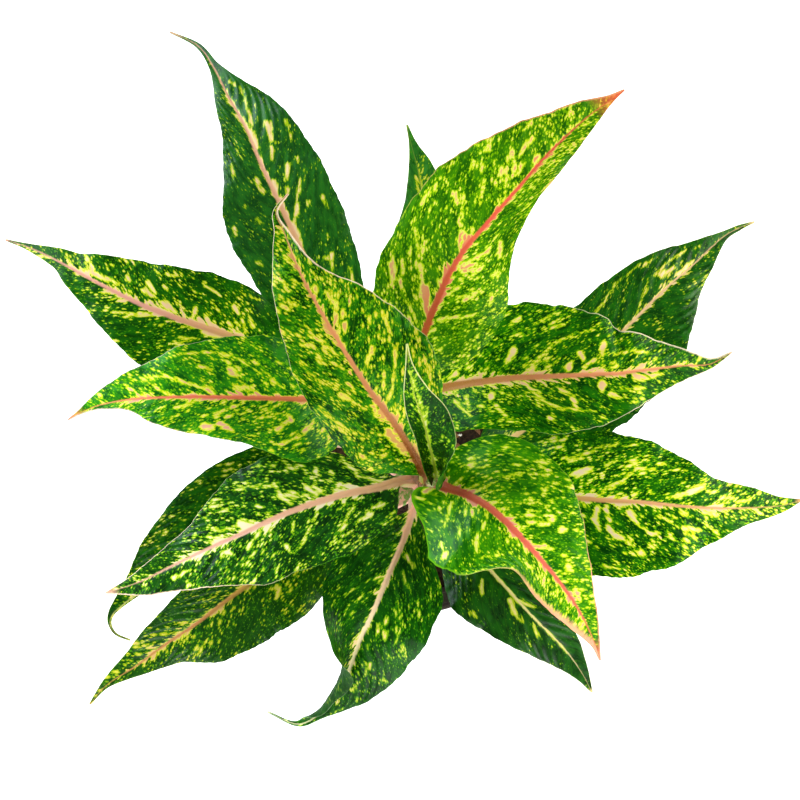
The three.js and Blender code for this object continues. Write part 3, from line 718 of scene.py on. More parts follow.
@dataclass(frozen=True)
class EvergreenLeaf:
    """One leaf: sheath, stalk, midrib and blade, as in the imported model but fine.

    node_height is where it grows from its cane and azimuth on which side, in mm and degrees. fold lifts
    both halves of the blade at its base, middle and tip, and roll raises its left half. lobes is how
    far the margins reach back, with the share of it at each station, curls bends a half of the blade
    at a station, and girth thins the stalk. rims is how wide the pale line along each margin is, in mm,
    and vein_slope how far a lateral vein runs forward for each mm that it runs out.
    A station is (right, back, height, left, right): the midrib's place as read from above, and how far
    the blade reaches to each side of it. A streak is a pale mark along a vein, as read from above:
    (right, back, right, back, half width). A patch is a part of the blade with more or fewer marks than
    elsewhere: (right, back, radius, change).
    """

    node: str
    slot: str
    cane: Cane
    node_height: float
    azimuth: float
    lean: float
    fold: tuple[float, float, float]
    ripple: float
    phase: float
    stations: tuple[tuple[float, float, float, float, float], ...]
    skin: LeafSkin
    roll: tuple[float, float, float] = (0, 0, 0)
    waves: float = 5
    lobes: tuple[float, float] = (4, 4)
    lobe_shares: tuple[float, ...] = (0, 0.67, 0.33)
    curls: tuple[tuple[Side, int, float], ...] = ()
    girth: float = 1.0
    rims: tuple[float, float] = (0.25, 0.25)
    vein_slope: float = 1.5
    on_top: bool = False
    streaks: tuple[tuple[float, float, float, float, float], ...] = ()
    patches: tuple[tuple[float, float, float, float], ...] = ()
    seed: int = 0

    def blade_stations(self) -> np.ndarray:
        """Stations of the blade, from the top of its stalk to its tip, as a table of columns."""
        last = len(self.stations) - 1
        rows = []
        for i, (right, back, height, left_reach, right_reach) in enumerate(self.stations):
            spread = (EYE[2] - height) / (EYE[2] - READING_HEIGHT)
            share = i / last
            lobe_share = self.lobe_shares[i] if i < len(self.lobe_shares) else 0
            rows.append(
                [
                    EYE[0] + right * spread,
                    EYE[1] + back * spread,
                    height,
                    left_reach * spread,
                    right_reach * spread,
                    np.interp(share, (0, 0.5, 1), self.fold),
                    np.interp(share, (0, 0.5, 1), self.roll),
                    CUP,
                    CUP,
                    np.interp(share, (0, 1), RIB_HALF_WIDTH),
                    np.interp(share, (0, 1), RIB_DEPTH),
                    0,  # the heading is set below
                    0,
                    self.lobes[0] * lobe_share,
                    self.lobes[1] * lobe_share,
                    self.waves * share + self.phase,
                ]
            )
        table = np.array(rows)
        for side, index, degrees in self.curls:
            column = Column.CURL_LEFT if side is Side.LEFT else Column.CURL_RIGHT
            table[index, column.value] = degrees
        rise = np.arange(last + 1)
        run = table[np.minimum(rise + 1, last), :2] - table[np.maximum(rise - 1, 0), :2]
        table[:, HEADING] = unit(run)
        return table

    def stalk_stations(self, blade: np.ndarray) -> np.ndarray:
        """Stations of the stalk, from its sheath on the cane up to the blade.

        Args:
            blade: the blade's stations.

        Returns:
            A table like the blade's.
        """
        azimuth, lean = math.radians(self.azimuth), math.radians(self.lean)
        out = Vector((math.cos(azimuth), math.sin(azimuth), 0))
        dip = (PETIOLE["rib_depth"] * self.girth + SOLID_THICKNESS) * math.sin(lean)
        height = self.cane.top[2] + GAP + dip if self.on_top else self.node_height
        seat_reach = 0 if self.on_top else self.cane.radius(height) + 2 * GAP + SOLID_THICKNESS / 2
        start = self.cane.axis(height) + out * seat_reach
        end, following = Vector(blade[0, :3]), Vector(blade[1, :3])
        reach = (end - start).length
        up = Vector((0, 0, math.cos(lean))) + out * math.sin(lean)
        arrive = (following - end).normalized()
        handles = (start, start + up * reach * STALK_PULL[0], end - arrive * reach * STALK_PULL[1], end)
        rows = []
        for stop in PETIOLE_STOPS:
            weights = ((1 - stop) ** 3, 3 * stop * (1 - stop) ** 2, 3 * stop**2 * (1 - stop), stop**3)
            point = sum((h * w for h, w in zip(handles, weights)), Vector((0, 0, 0)))
            sheath = 0 if self.on_top else max(0, 1 - stop / SHEATH_SHARE)
            mix = {key: PETIOLE[key] + (SHEATH[key] - PETIOLE[key]) * sheath for key in PETIOLE}
            heading = Vector((out.x, out.y)).lerp(Vector(blade[0, HEADING]), stop).normalized()
            rows.append(
                [
                    *point,
                    mix["half_width"] * self.girth,
                    mix["half_width"] * self.girth,
                    self.fold[0] * stop,
                    self.roll[0] * stop,
                    mix["curl"],
                    mix["curl"],
                    mix["rib_half_width"] * self.girth,
                    mix["rib_depth"] * self.girth,
                    *heading,
                    0,  # no lobes
                    0,
                    self.phase,
                ]
            )
        return np.array(rows)

    def place(self, rng: np.random.Generator) -> "LeafGrid":
        """Lays the leaf's grid of points.

        Args:
            rng: random numbers of this leaf.

        Returns:
            The grid.
        """
        blade = self.blade_stations()
        table = np.vstack([self.stalk_stations(blade), blade])
        stops = even_stops(table, RING_STEP)
        return LeafGrid(self, table, stops, len(PETIOLE_STOPS), rng)

    def build(self) -> bpy.types.Object:
        """Builds the leaf's mesh, with the values that its material reads."""
        grid = self.place(np.random.default_rng(SEED + self.seed))
        points, faces = grid.skin()
        made = new_object(f"{self.node}_living", points, faces, SHARP_ANGLE)
        for key, values in grid.values().items():
            set_values(made.data, key, values)
        grid.unwrap(made.data)
        return made

    def dress(self, piece: bpy.types.Object) -> None:
        """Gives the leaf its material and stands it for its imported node."""
        seat(piece, self.slot, self.skin.material(self.node), self.node)


def catmull_rom(table: np.ndarray, t: np.ndarray) -> np.ndarray:
    """Uniform Catmull-Rom values of all the columns of a table.

    Args:
        table: rows of values; past either end it runs on straight.
        t: where to read it, counted in rows.

    Returns:
        One row of values for each t.
    """
    padded = np.vstack([2 * table[0] - table[1], table, 2 * table[-1] - table[-2]])
    i = np.minimum(np.floor(t).astype(int), len(table) - 2)
    u = (t - i)[:, None]
    p0, p1, p2, p3 = (padded[i + k] for k in range(4))
    square = 2 * p0 - 5 * p1 + 4 * p2 - p3
    cube = 3 * p1 - p0 - 3 * p2 + p3
    return 0.5 * (2 * p1 + (p2 - p0) * u + square * u**2 + cube * u**3)


def even_stops(table: np.ndarray, step: float) -> np.ndarray:
    """Places along a table of stations that lie a step apart, both ends included.

    Args:
        table: the stations.
        step: distance in mm.

    Returns:
        The places, counted in stations.
    """
    reads, fewest_rings = 60, 12
    dense = np.linspace(0, len(table) - 1, reads * len(table))
    points = catmull_rom(table, dense)[:, :3]
    run = np.concatenate([[0], np.cumsum(np.linalg.norm(np.diff(points, axis=0), axis=1))])
    count = max(int(run[-1] / step), fewest_rings)
    return np.interp(np.linspace(0, run[-1], count), run, dense)


def unit(vectors: np.ndarray) -> np.ndarray:
    """Vectors of length 1."""
    return vectors / np.linalg.norm(vectors, axis=-1, keepdims=True)


def arc_run(length: np.ndarray, start: np.ndarray, curl: np.ndarray) -> tuple[np.ndarray, np.ndarray]:
    """Sideways and upward run of an arc that starts at an angle and bends by curl.

    Args:
        length: length of each arc.
        start: angle at which it starts, in radians.
        curl: how much it bends, in radians.

    Returns:
        The two runs.
    """
    flat = np.abs(curl) < 1e-3
    bend = np.where(flat, 1.0, curl)
    end = start + bend
    sideways = np.where(flat, np.cos(start), (np.sin(end) - np.sin(start)) / bend)
    upwards = np.where(flat, np.sin(start), (np.cos(start) - np.cos(end)) / bend)
    return length * sideways, length * upwards


class LeafGrid:
    """Points of one leaf in rings across it, with their place on the blade."""

    def __init__(
        self,
        leaf: EvergreenLeaf,
        table: np.ndarray,
        stops: np.ndarray,
        blade_start: int,
        rng: np.random.Generator,
    ) -> None:
        """Reads the stations at each ring.

        Args:
            leaf: the leaf.
            table: its stations.
            stops: where its rings stand, counted in stations.
            blade_start: number of the blade's first station.
            rng: random numbers of this leaf.
        """
        self.leaf = leaf
        self.stops = stops
        self.here = catmull_rom(table, stops)
        step = 0.02  # stations
        before = catmull_rom(table, np.maximum(stops - step, 0))[:, :3]
        after = catmull_rom(table, np.minimum(stops + step, len(table) - 1))[:, :3]
        self.along = unit(after - before)
        heading = np.zeros((len(stops), 3))
        heading[:, :2] = self.here[:, HEADING]
        self.heading = heading
        rightward = np.stack([heading[:, 1], -heading[:, 0], np.zeros(len(stops))], axis=1)
        rightward -= self.along * np.sum(rightward * self.along, axis=1, keepdims=True)
        rightward = unit(rightward)
        roll = np.radians(self.column(Column.ROLL))[:, None]
        self.rightward = rightward * np.cos(roll) + np.cross(self.along, rightward) * np.sin(roll)
        self.upward = np.cross(self.rightward, self.along)
        middle = self.here[:, :3]
        run = np.concatenate([[0], np.cumsum(np.linalg.norm(np.diff(middle, axis=0), axis=1))])
        self.run = run - np.interp(blade_start, stops, run)
        self.length = self.run[-1]
        rib_reaches = np.linspace(0, 1, RIB_COLUMNS + 1)[1:]
        blade_reaches = 1 + np.linspace(0, 1, BLADE_COLUMNS + 1)[1:] ** 0.9
        self.reaches = np.concatenate([[0], rib_reaches, blade_reaches])
        self.waver = self.margin_waver(rng)
        self.halves = {side: self.half(side) for side in Side}

    def column(self, column: Column) -> np.ndarray:
        """One column of the stations, at each ring."""
        return self.here[:, column.value]

    def margin_waver(self, rng: np.random.Generator) -> dict[Side, np.ndarray]:
        """Small uneven waves of each margin, from about -1 to 1 at each ring."""
        waver = {}
        for side in Side:
            total = np.zeros(len(self.run))
            for wavelength, size in WAVER:
                length = wavelength * rng.uniform(0.8, 1.25)
                total += size * np.sin(2 * math.pi * (self.run / length + rng.uniform()))
            waver[side] = total
        return waver

    def half(self, side: Side) -> dict[str, np.ndarray]:
        """Points and places of one half of the leaf, from its midrib out.

        Args:
            side: which half.

        Returns:
            upper and lower points, and for each its distance from the midrib, share of the half
            blade, distance to the margin and place along the veins.
        """
        leaf, sign = self.leaf, side.value
        left = side is Side.LEFT
        reach_column = Column.LEFT if left else Column.RIGHT
        half_width = np.maximum(self.column(reach_column), TIP_HALF_WIDTH)
        on_blade = smooth_step(*FOOT_FADE, self.run)
        half_width = half_width + FULLNESS * on_blade * smooth_step(*FULLNESS_TAPER, self.length - self.run)
        half_width = half_width * (1 + WAVER_WIDTH * self.waver[side] * on_blade)
        rib = np.minimum(self.column(Column.RIB_HALF_WIDTH), half_width * 0.6)
        reaches = self.reaches[None, :]
        distance = np.where(
            reaches < 1, rib[:, None] * reaches, rib[:, None] + (half_width - rib)[:, None] * (reaches - 1)
        )
        share = distance / half_width[:, None]
        fold = np.radians(self.column(Column.FOLD))[:, None] + 0 * share
        curl_column = Column.CURL_LEFT if left else Column.CURL_RIGHT
        curl = np.radians(self.column(curl_column))[:, None] * share
        sideways, upwards = arc_run(distance, fold, curl)
        slope = fold + curl
        vein = self.vein_place(share)
        fullness = np.minimum(1, half_width / FULL_RIPPLE_REACH)[:, None]
        wave = 2 * math.pi * self.column(Column.WAVE)[:, None] + (sign + 1)
        ripple = leaf.ripple * fullness * share**2 * np.sin(wave)
        ripple += WAVER_LIFT * fullness * share**4 * self.waver[side][:, None]
        lobe_column = Column.LOBE_LEFT if left else Column.LOBE_RIGHT
        lobe = self.column(lobe_column)[:, None] * share**2
        rounding = VALLEY_ROUNDING * on_blade[:, None] * fullness
        lift = np.where(upwards > 0, np.hypot(upwards, rounding) - rounding, upwards)
        relief = self.relief(distance, share, vein, half_width)
        middle = (
            self.here[:, None, :3]
            + self.rightward[:, None] * (sign * sideways)[..., None]
            + self.upward[:, None] * (lift + ripple)[..., None]
            - self.heading[:, None] * lobe[..., None]
        )
        normal = (
            self.upward[:, None] * np.cos(slope)[..., None]
            - self.rightward[:, None] * (sign * np.sin(slope))[..., None]
        )
        rim = np.sqrt(np.clip(1 - smooth_step(RIM_START, 1, share) ** 2, 0, 1))
        thickness = RIM_THICKNESS + (BLADE_THICKNESS - RIM_THICKNESS) * rim
        rib_share = np.minimum(1, distance / (self.column(Column.RIB_HALF_WIDTH)[:, None] * CREASE_WIDTH))
        keel = self.column(Column.RIB_DEPTH)[:, None] * np.sqrt(1 - rib_share**2)
        return {
            "upper": middle + normal * (thickness / 2 + relief)[..., None],
            "lower": middle - normal * (thickness / 2 + keel - relief)[..., None],
            "distance": distance * sign,
            "share": share,
            "to_rim": half_width[:, None] - distance,
            "vein": vein,
        }

    def vein_place(self, share: np.ndarray) -> np.ndarray:
        """Where the lateral vein through each point leaves the midrib, in mm from the blade's base."""
        sweep = VEIN_SWEEP * 0.5 * (share + share**2)
        return self.length * (self.run[:, None] / self.length - sweep) / (1 - sweep)

    def relief(
        self, distance: np.ndarray, share: np.ndarray, vein: np.ndarray, half_width: np.ndarray
    ) -> np.ndarray:
        """Height of the blade's fine relief, in mm.

        Args:
            distance: distance from the midrib.
            share: share of the half blade.
            vein: place of the lateral vein.
            half_width: width of the half blade at each ring.

        Returns:
            The channel along the midrib and the quilting between the lateral veins.
        """
        wide = smooth_step(4, 16, half_width)[:, None]
        on_blade = smooth_step(-4, 10, self.run)[:, None]
        channel = -CHANNEL_DEPTH * wide * on_blade * np.exp(-((distance / CHANNEL_HALF_WIDTH) ** 2))
        cushion = np.cos(2 * math.pi * (vein / VEIN_PITCH + 0.5))
        fade = smooth_step(0.06, 0.3, share) * (1 - smooth_step(0.8, 1, share))
        return channel + QUILT_HEIGHT * wide * on_blade * fade * cushion

    def row(self, key: str) -> np.ndarray:
        """One value across each ring, from the left margin to the right one."""
        left, right = self.halves[Side.LEFT][key], self.halves[Side.RIGHT][key]
        return np.concatenate([left[:, ::-1], right[:, 1:]], axis=1)

    def ring(self, upper: np.ndarray, lower: np.ndarray) -> np.ndarray:
        """Values round each ring: the upper face left to right, then the lower one back."""
        both = np.concatenate([upper, lower[:, ::-1]], axis=1)
        return both.reshape(-1, *both.shape[2:])

    def skin(self) -> tuple[np.ndarray, np.ndarray]:
        """The leaf's closed skin, as points and faces."""
        points = self.ring(self.row("upper"), self.row("lower"))
        rings, size = len(self.stops), 2 * (2 * len(self.reaches) - 1)
        k = np.arange(size)
        near = np.arange(rings - 1)[:, None] * size
        quads = np.stack(
            [near + k, near + (k + 1) % size, near + size + (k + 1) % size, near + size + k], axis=-1
        ).reshape(-1, 4)
        cap = np.arange(size // 2 - 1)
        start = np.stack([cap, size - 1 - cap, size - 2 - cap, cap + 1], axis=-1)
        end = start[:, ::-1] + (rings - 1) * size
        return points, np.concatenate([quads, start, end])

    def seen(self) -> np.ndarray:
        """Right and back place of each point of the upper face as read from above."""
        upper = self.row("upper")
        spread = (EYE[2] - READING_HEIGHT) / (EYE[2] - upper[..., 2:])
        return (upper[..., :2] - EYE[:2]) * spread

    def outside_streaks(self, seen: np.ndarray) -> np.ndarray:
        """How far each point lies outside the leaf's pale streaks, in mm."""
        outside = np.full(seen.shape[:2], FAR_OUTSIDE)
        for right, back, to_right, to_back, half_width in self.leaf.streaks:
            start, run = np.array([right, back]), np.array([to_right - right, to_back - back])
            share = np.clip((seen - start) @ run / (run @ run), 0, 1)
            gap = np.linalg.norm(seen - start - share[..., None] * run, axis=-1)
            outside = np.minimum(outside, gap - half_width * (1 - 0.5 * share**2))
        return outside

    def density(self, seen: np.ndarray) -> np.ndarray:
        """How much more than usual each point is marked."""
        total = self.leaf.skin.marked + self.leaf.skin.gather * (0.5 - self.row("share"))
        for right, back, radius, change in self.leaf.patches:
            gap = np.linalg.norm(seen - np.array([right, back]), axis=-1)
            total += change * np.exp(-((gap / radius) ** 2))
        return total

    def marking(self, run: np.ndarray, width: np.ndarray, side: np.ndarray) -> np.ndarray:
        """Place of each point across and along the veins in mm, with the number of its half blade.

        Args:
            run: distance from the blade's base.
            width: distance from the midrib.
            side: -1 on the left half, 1 on the right one.

        Returns:
            The places. A half that is narrower than the other holds its pattern in less width.
        """
        left, right = (np.maximum(self.column(reach), 2)[:, None] for reach in (Column.LEFT, Column.RIGHT))
        full = width * np.clip(np.where(side < 0, right / left, left / right), 1, 2.5)
        number = self.leaf.seed * SEED_STEP + HALF_STEP * side
        slope = self.leaf.vein_slope
        across = (run - slope * (full + VEIN_BEND * full**2)) / math.hypot(1, slope)
        along = (slope * run + full) / math.hypot(1, slope)
        return np.stack([across + number, along + number, number], axis=-1)

    def values(self) -> dict[str, np.ndarray]:
        """The values that the leaf's material reads, for each point of the skin."""
        distance, seen = self.row("distance"), self.seen()
        ones, width, side = np.ones_like(distance), np.abs(distance), np.sign(distance)
        run = self.run[:, None] * ones
        along = np.clip(run / self.length, 0, 1)
        band = self.leaf.skin.rib_width * np.interp(along, *RIB_BAND)
        on_stalk = 1 - smooth_step(*STALK_COLOUR, run + 1.2 * width)
        rim_width = np.where(side < 0, *self.leaf.rims) * np.interp(along, *RIM_GROWTH)
        vein = self.marking(run, width, side)
        place = np.stack([width - band, self.row("to_rim") / rim_width, on_stalk], axis=-1)
        accent = np.stack([self.outside_streaks(seen), self.row("vein"), self.length - run], axis=-1)
        density = self.density(seen)
        tones = [np.stack([along, ones * face, density], axis=-1) for face in (0, 1)]
        return {
            "vein": self.ring(vein, vein),
            "place": self.ring(place, place),
            "accent": self.ring(accent, accent),
            "tone": self.ring(*tones),
        }

    def unwrap(self, mesh: bpy.types.Mesh) -> None:
        """Lays the skin out flat, upper face beside lower face, as the map of its baked colours."""
        distance = self.row("distance")
        upper_middle = UV_GAP - distance.min()
        lower_middle = upper_middle + 2 * distance.max() + 2 * UV_GAP
        across = self.ring(distance + upper_middle, lower_middle - distance)
        run = self.ring(*[self.run[:, None] - self.run[0] + 0 * distance] * 2)
        scale = (1 - 2 * UV_MARGIN) / max(run.max(), across.max() + 2 * UV_GAP)
        corners = np.zeros(len(mesh.loops), int)
        mesh.loops.foreach_get("vertex_index", corners)
        flat = np.stack([run[corners], across[corners]], axis=1)
        size = 2 * distance.shape[1]
        faces = corners[: 4 * (len(self.stops) - 1) * size].reshape(-1, 4)
        wraps = np.zeros(len(mesh.loops), bool)
        wraps[: faces.size] = ((faces % size == size - 1).any(1)[:, None] & (faces % size == 0)).ravel()
        flat[wraps, 1] = lower_middle - distance.min() + 0.75 * UV_GAP
        layer = mesh.uv_layers.new(name="OFBake")
        layer.uv.foreach_set("vector", (flat * scale + UV_MARGIN).astype(np.float32).ravel())


LEAVES = (
    EvergreenLeaf(
        node="leaf_front_left_low", slot="leaf_old", cane=CANE_A, node_height=142, azimuth=215, lean=34,
        fold=(20, 12, 16), roll=(0, -6, 0), ripple=1.2, waves=4, phase=0.1, seed=17,
        skin=replace(
            DARK, deep="#0a3b00", green="#154c00", yellow="#a2ad0c", pale="#cece3b", cream="#ddc070",
            rib_base="#b4a83c", rib_tip="#be8048", feather=2.8, rib_width=1.05, marked=-0.05, tip_reach=2,
            sheen=0.2,
        ),
        streaks=((-61, -94, -62, -99, 1.6),),
        patches=((-110, -115, 10, 0.08), (-85, -110, 10, -0.06)),
        stations=(
            (-32, -67, 198, 3, 3), (-47, -76, 206, 20, 15), (-62, -85, 212, 26.5, 18),
            (-75, -92, 216, 28, 19), (-89, -102, 217, 27.2, 19), (-102, -112, 215, 22.7, 17),
            (-117, -122, 210, 12, 13), (-132, -133, 203, 5, 8), (-146, -142, 195, 1.5, 3),
            (-155, -152, 188, 0.5, 0.5),
        ),
    ),
    EvergreenLeaf(
        node="leaf_front_right", slot="leaf_old", cane=CANE_A, node_height=150, azimuth=300, lean=24,
        fold=(20, 14, 12), roll=(0, 4, 0), ripple=1.0, waves=4, phase=0.6, seed=13, vein_slope=1.9,
        skin=replace(
            DARK, pale="#ccd24a", rib_base="#e4cc70", rib_tip="#efd998", cream="#e6d27c", feather=0.6,
            rib_width=0.7, marked=-0.25, tip_reach=3, sheen=0.25,
        ),
        streaks=(
            (41, -90, 41, -98, 0.7), (55, -100, 57, -107, 1.2), (57, -106, 61, -111, 1),
            (60, -100, 68, -104, 0.9), (35, -106, 38, -109, 0.7), (66, -112, 70, -120, 0.5),
        ),
        stations=(
            (25, -67, 206, 3, 3), (34, -75, 214, 12, 16), (44, -84, 221, 15, 26), (55, -96, 225, 15, 24.6),
            (67, -109, 225, 12, 18.5), (81, -123, 219, 9, 11.8), (90, -135, 211, 4, 5),
            (96, -146, 203, 0.5, 0.5),
        ),
    ),
    EvergreenLeaf(
        node="leaf_right_back", slot="leaf_old", cane=CANE_A, node_height=162, azimuth=40, lean=26,
        fold=(22, 12, 16), roll=(0, 8, 4), ripple=1.4, phase=0.3, seed=8, vein_slope=2.2,
        skin=replace(
            DARK, deep="#064000", green="#186501", yellow="#b1c60a", pale="#eedd69", cream="#f8e2b0",
            rib_base="#f0c07c", rib_tip="#f8cc98", tip_reach=4, marked=-0.13, sheen=0.2,
        ),
        streaks=(
            (118, 40, 121, 50, 0.6), (98, 44, 108, 58, 0.5), (121, 50, 124, 59, 0.4),
            (124, 59, 135, 70, 0.35), (135, 70, 143, 75, 0.3), (130.5, 62.5, 137, 66, 1.6),
            (139, 63, 147, 70, 1.2), (108, 58, 120, 68, 0.3), (122, 67, 126, 70, 0.8),
        ),
        stations=(
            (43, -31, 212, 3, 3), (52, -22, 220, 12, 14), (70, -8, 229, 20, 26), (90, 14, 235, 25, 34),
            (113, 36, 238, 24.8, 33.4), (132, 55, 237, 20, 22.2), (147, 68, 232, 12, 10),
            (160.6, 80.8, 224, 3, 2.5), (169.5, 86, 219, 1.5, 1.3), (177, 89, 215, 0.5, 0.5),
        ),
    ),
    EvergreenLeaf(
        node="leaf_left_hooked", slot="leaf_old", cane=CANE_A, node_height=174, azimuth=165, lean=32,
        fold=(20, 10, 16), ripple=0.8, waves=4, phase=0, seed=16,
        skin=replace(
            DARK, lime="#326600", yellow="#879f04", pale="#d8cc5c", rib_tip="#b4b464", tip_reach=3,
            marked=0.0,
        ),
        stations=(
            (-41, -22, 228, 3, 3), (-57, -29, 234, 13, 10), (-75, -39, 239, 15, 13.6),
            (-91, -51, 241, 16, 16.2), (-105, -66, 239, 15, 16.4), (-117, -81, 234, 11, 15),
            (-128, -94, 227, 2, 10.6), (-138, -102, 222, 0.5, 5.4), (-143.5, -107, 219, 0.5, 2.4),
            (-145, -112, 217, 0.7, 0.8), (-142, -117, 215, 0.6, 0.6), (-135, -120, 213, 0.5, 0.5),
        ),
    ),
    EvergreenLeaf(
        node="leaf_right_front", slot="leaf_middle", cane=CANE_A, node_height=186, azimuth=0, lean=24,
        fold=(20, 10, 14), ripple=1.3, phase=0.2, seed=11,
        skin=replace(
            FRESH, deep="#034000", green="#196a00", lime="#5db000", yellow="#dceb18", pale="#f8f476",
            cream="#f8e3b8", rib_base="#cc9838", rib_tip="#eaac78", tip_reach=5, blush=0.2, marked=0.03,
        ),
        streaks=(
            (88, -52, 94, -53, 0.8), (98.5, -54, 98, -58, 1.8), (97, -59, 100, -65, 1.6),
            (103, -54, 105, -60, 1.4), (104, -63, 107, -69, 1.5), (107, -68, 112, -69, 1.5),
            (114, -71, 119, -76, 0.6), (120, -76, 123, -78, 1.4), (115, -56, 119, -62, 1.6),
            (119, -62, 124, -66, 0.6), (124, -67, 130, -67, 1.1), (130, -58, 136, -61, 0.9),
            (140, -55, 144, -58, 0.9), (142, -64, 150, -65, 1.4), (143, -66, 148, -69, 1),
            (152, -56, 158, -58, 0.9), (99, -48, 105, -43, 0.6), (105, -44, 112, -40, 1.2),
            (112, -39, 120, -34, 0.6), (118, -34, 128, -35, 0.8), (129, -32, 133, -32, 0.8),
            (84, -30, 90, -28, 1.1), (90, -28, 102, -23, 0.6), (102, -23, 120, -22, 0.35),
            (88, -37, 96, -34, 1.8), (103, -32, 108, -31, 1.1), (117, -30.5, 119, -30.5, 1.4),
            (134, -49, 145, -46, 1), (145, -46, 152, -43, 2.1), (154, -46, 159, -46, 0.8),
            (160, -49, 167, -49, 0.9), (169, -51, 175, -50, 0.8), (105, -49, 115, -49, 0.8),
            (125, -46, 127, -46, 0.9), (100, -83, 110, -85, 0.5),
        ),
        patches=((135, -38, 8, -0.1), (105, -78, 12, -0.12), (125, -66, 12, -0.08), (125, -50, 6, -0.06)),
        stations=(
            (49, -42, 240, 3, 3), (62, -45, 248, 21, 17), (80, -48, 255, 31, 30), (100, -50, 259, 34, 37.6),
            (120, -51, 260, 31, 37), (140, -53, 257, 23.6, 29.3), (157, -54, 251, 14.5, 17.4),
            (172, -54, 244, 11, 8.6), (189, -53, 236, 5, 4), (201, -50, 229, 0.5, 0.5),
        ),
    ),
    EvergreenLeaf(
        node="leaf_front_middle", slot="leaf_old", cane=CANE_A, node_height=198, azimuth=245, lean=20,
        fold=(24, 18, 10), ripple=1.2, waves=3, phase=0.4, seed=14, rims=(0.4, 0.3),
        # Midrib base and stalk: the leaf's own pink, lightened by painted light to make up for the shade in
        # the crown. The underside colour is painted shade, darker than an underside's own pale green, to
        # hold down the light on the turned tip.
        skin=replace(
            DARK, deep="#053800", green="#125601", lime="#367f02", yellow="#84b208", pale="#d6dc42",
            rib_base="#f6b89c", rib_tip="#fdf0b8", rim="#9cc08a", stalk="#ffb6a6", back="#103804",
            marked=-0.07, tip_reach=3, sheen=0.1,
        ),
        curls=((Side.RIGHT, 4, 60), (Side.RIGHT, 5, 190), (Side.RIGHT, 6, 150), (Side.RIGHT, 7, 150)),
        streaks=(
            (4, -62, 2, -70, 1.8), (0, -75, -5, -88, 1.2), (-10, -88, -20, -92, 0.4),
            (-7, -116, -8, -120, 1.5), (-7, -112, -6, -108, 1.1), (-10, -112, -12, -120, 1.1),
            (1, -86, 3, -92, 0.9), (2, -90, 5, -95, 0.7), (-15, -132, -17, -137, 1),
            (-24, -145, -22, -143, 1), (-8, -140, -7, -141, 0.8), (-3, -94, 0, -104, 0.35),
            (0, -104, 0, -115, 0.35), (0, -115, -3, -124, 0.3), (-20, -92, -28, -98, 0.3),
            (3, -78, 7, -84, 1.2),
        ),
        patches=((-25, -104, 10, -0.1),),
        stations=(
            (6, -57, 246, 3, 3), (1, -72, 255, 14, 20), (-6, -88, 260, 29, 27), (-13, -105, 260, 30.5, 28),
            (-20, -120, 254, 28, 20), (-25, -134, 244, 22, 16), (-30, -146, 232, 11.5, 13),
            (-39, -156, 219, 3, 7), (-51, -162, 208, 1, 1.5), (-66, -156, 198, 0.5, 0.5),
        ),
    ),
    EvergreenLeaf(
        node="leaf_front_left_wide", slot="leaf_middle", cane=CANE_A, node_height=214, azimuth=188, lean=20,
        fold=(22, 8, 14), roll=(10, 10, 0), ripple=1.6, phase=0.8, seed=15, rims=(0.7, 0.3),
        # Midrib base: the leaf's own cream-pink, lightened by painted light to make up for the shade of the
        # leaf over the centre.
        skin=replace(
            FRESH, deep="#032e00", green="#114f03", lime="#4a9405", yellow="#b4d015", pale="#e9eb79",
            cream="#f6eebc", rib_base="#f0b884", rib_tip="#e6ac90", feather=3.2, rib_width=1.2,
            rim="#ffe0bc", stalk="#ffae9c", stalk_green="#c8a088", blush=0.2, marked=-0.02, sheen=0.18,
        ),
        streaks=(
            (-8, -41, -22, -38, 0.9), (-22, -36, -28, -31, 1), (-30, -42, -33, -46, 1.2),
            (-28, -45, -34, -48, 1.6), (-42, -35, -42, -38, 1.2), (-35, -36, -33, -37, 1),
            (-43, -43, -38, -47, 1.2), (-47, -44, -41, -48, 1.3), (-63, -42, -60, -46, 1.1),
            (-62, -43, -75, -43, 0.4), (-78, -44, -83, -46, 0.7), (-60, -48, -54, -52, 1.3),
            (-57, -47, -50, -49, 1), (-71, -53, -69, -54, 1.2), (-89, -56, -86, -55, 0.8),
            (-80, -62, -72, -63, 2), (-93, -65, -79, -65, 0.6), (-76, -74, -74, -70, 1.2),
            (-23, -52, -27, -60, 0.7), (-27, -60, -30, -66, 0.5), (-41, -56, -43, -60, 0.7),
            (-45, -64, -48, -70, 0.6), (-48, -70, -53, -77, 0.5), (-53, -61, -54, -68, 0.7),
            (-57, -73, -55, -76, 0.9), (-30, -49, -27, -52, 1), (-15, -57, -18, -60, 1.5),
            (-13, -54, -8, -52, 1), (-109, -81, -100, -78, 0.8), (-88, -76, -84, -77, 1.2),
            (-113, -89, -105, -85, 1), (-66, -57, -62, -56, 0.8),
        ),
        patches=((-60, -38, 10, -0.06), (-105, -72, 12, -0.08), (-48, -80, 12, -0.06), (-65, -75, 9, 0.06)),
        stations=(
            (-1, -41, 265, 3, 3), (-12, -44, 271, 18, 8), (-27, -47, 275, 28, 20), (-44, -52, 277, 30, 28),
            (-60, -58, 278, 29, 30), (-77, -66, 277, 28, 28), (-95, -74, 273, 20, 17),
            (-112, -82, 265, 14, 10), (-130, -90.8, 255, 7, 5), (-147, -96.5, 246, 0.5, 0.5),
        ),
    ),
    EvergreenLeaf(
        node="leaf_front_twisted", slot="leaf_young", cane=CANE_A, node_height=230, azimuth=302, lean=18,
        fold=(16, 8, 14), ripple=2.0, waves=3, phase=0.5, seed=12, girth=0.8, lobes=(8, 20),
        lobe_shares=(0, 0.55, 0.75, 0.68, 0.33), rims=(0.8, 3.3), vein_slope=0.85,
        skin=replace(
            BRIGHT, deep="#166000", green="#388a00", lime="#64aa00", yellow="#c3db15", pale="#e8ee62",
            cream="#f2cfa0", rib_base="#b8502e", rib_tip="#de6450", rib_width=1.25, rim="#f8a888",
            tip_reach=16,
        ),
        streaks=(
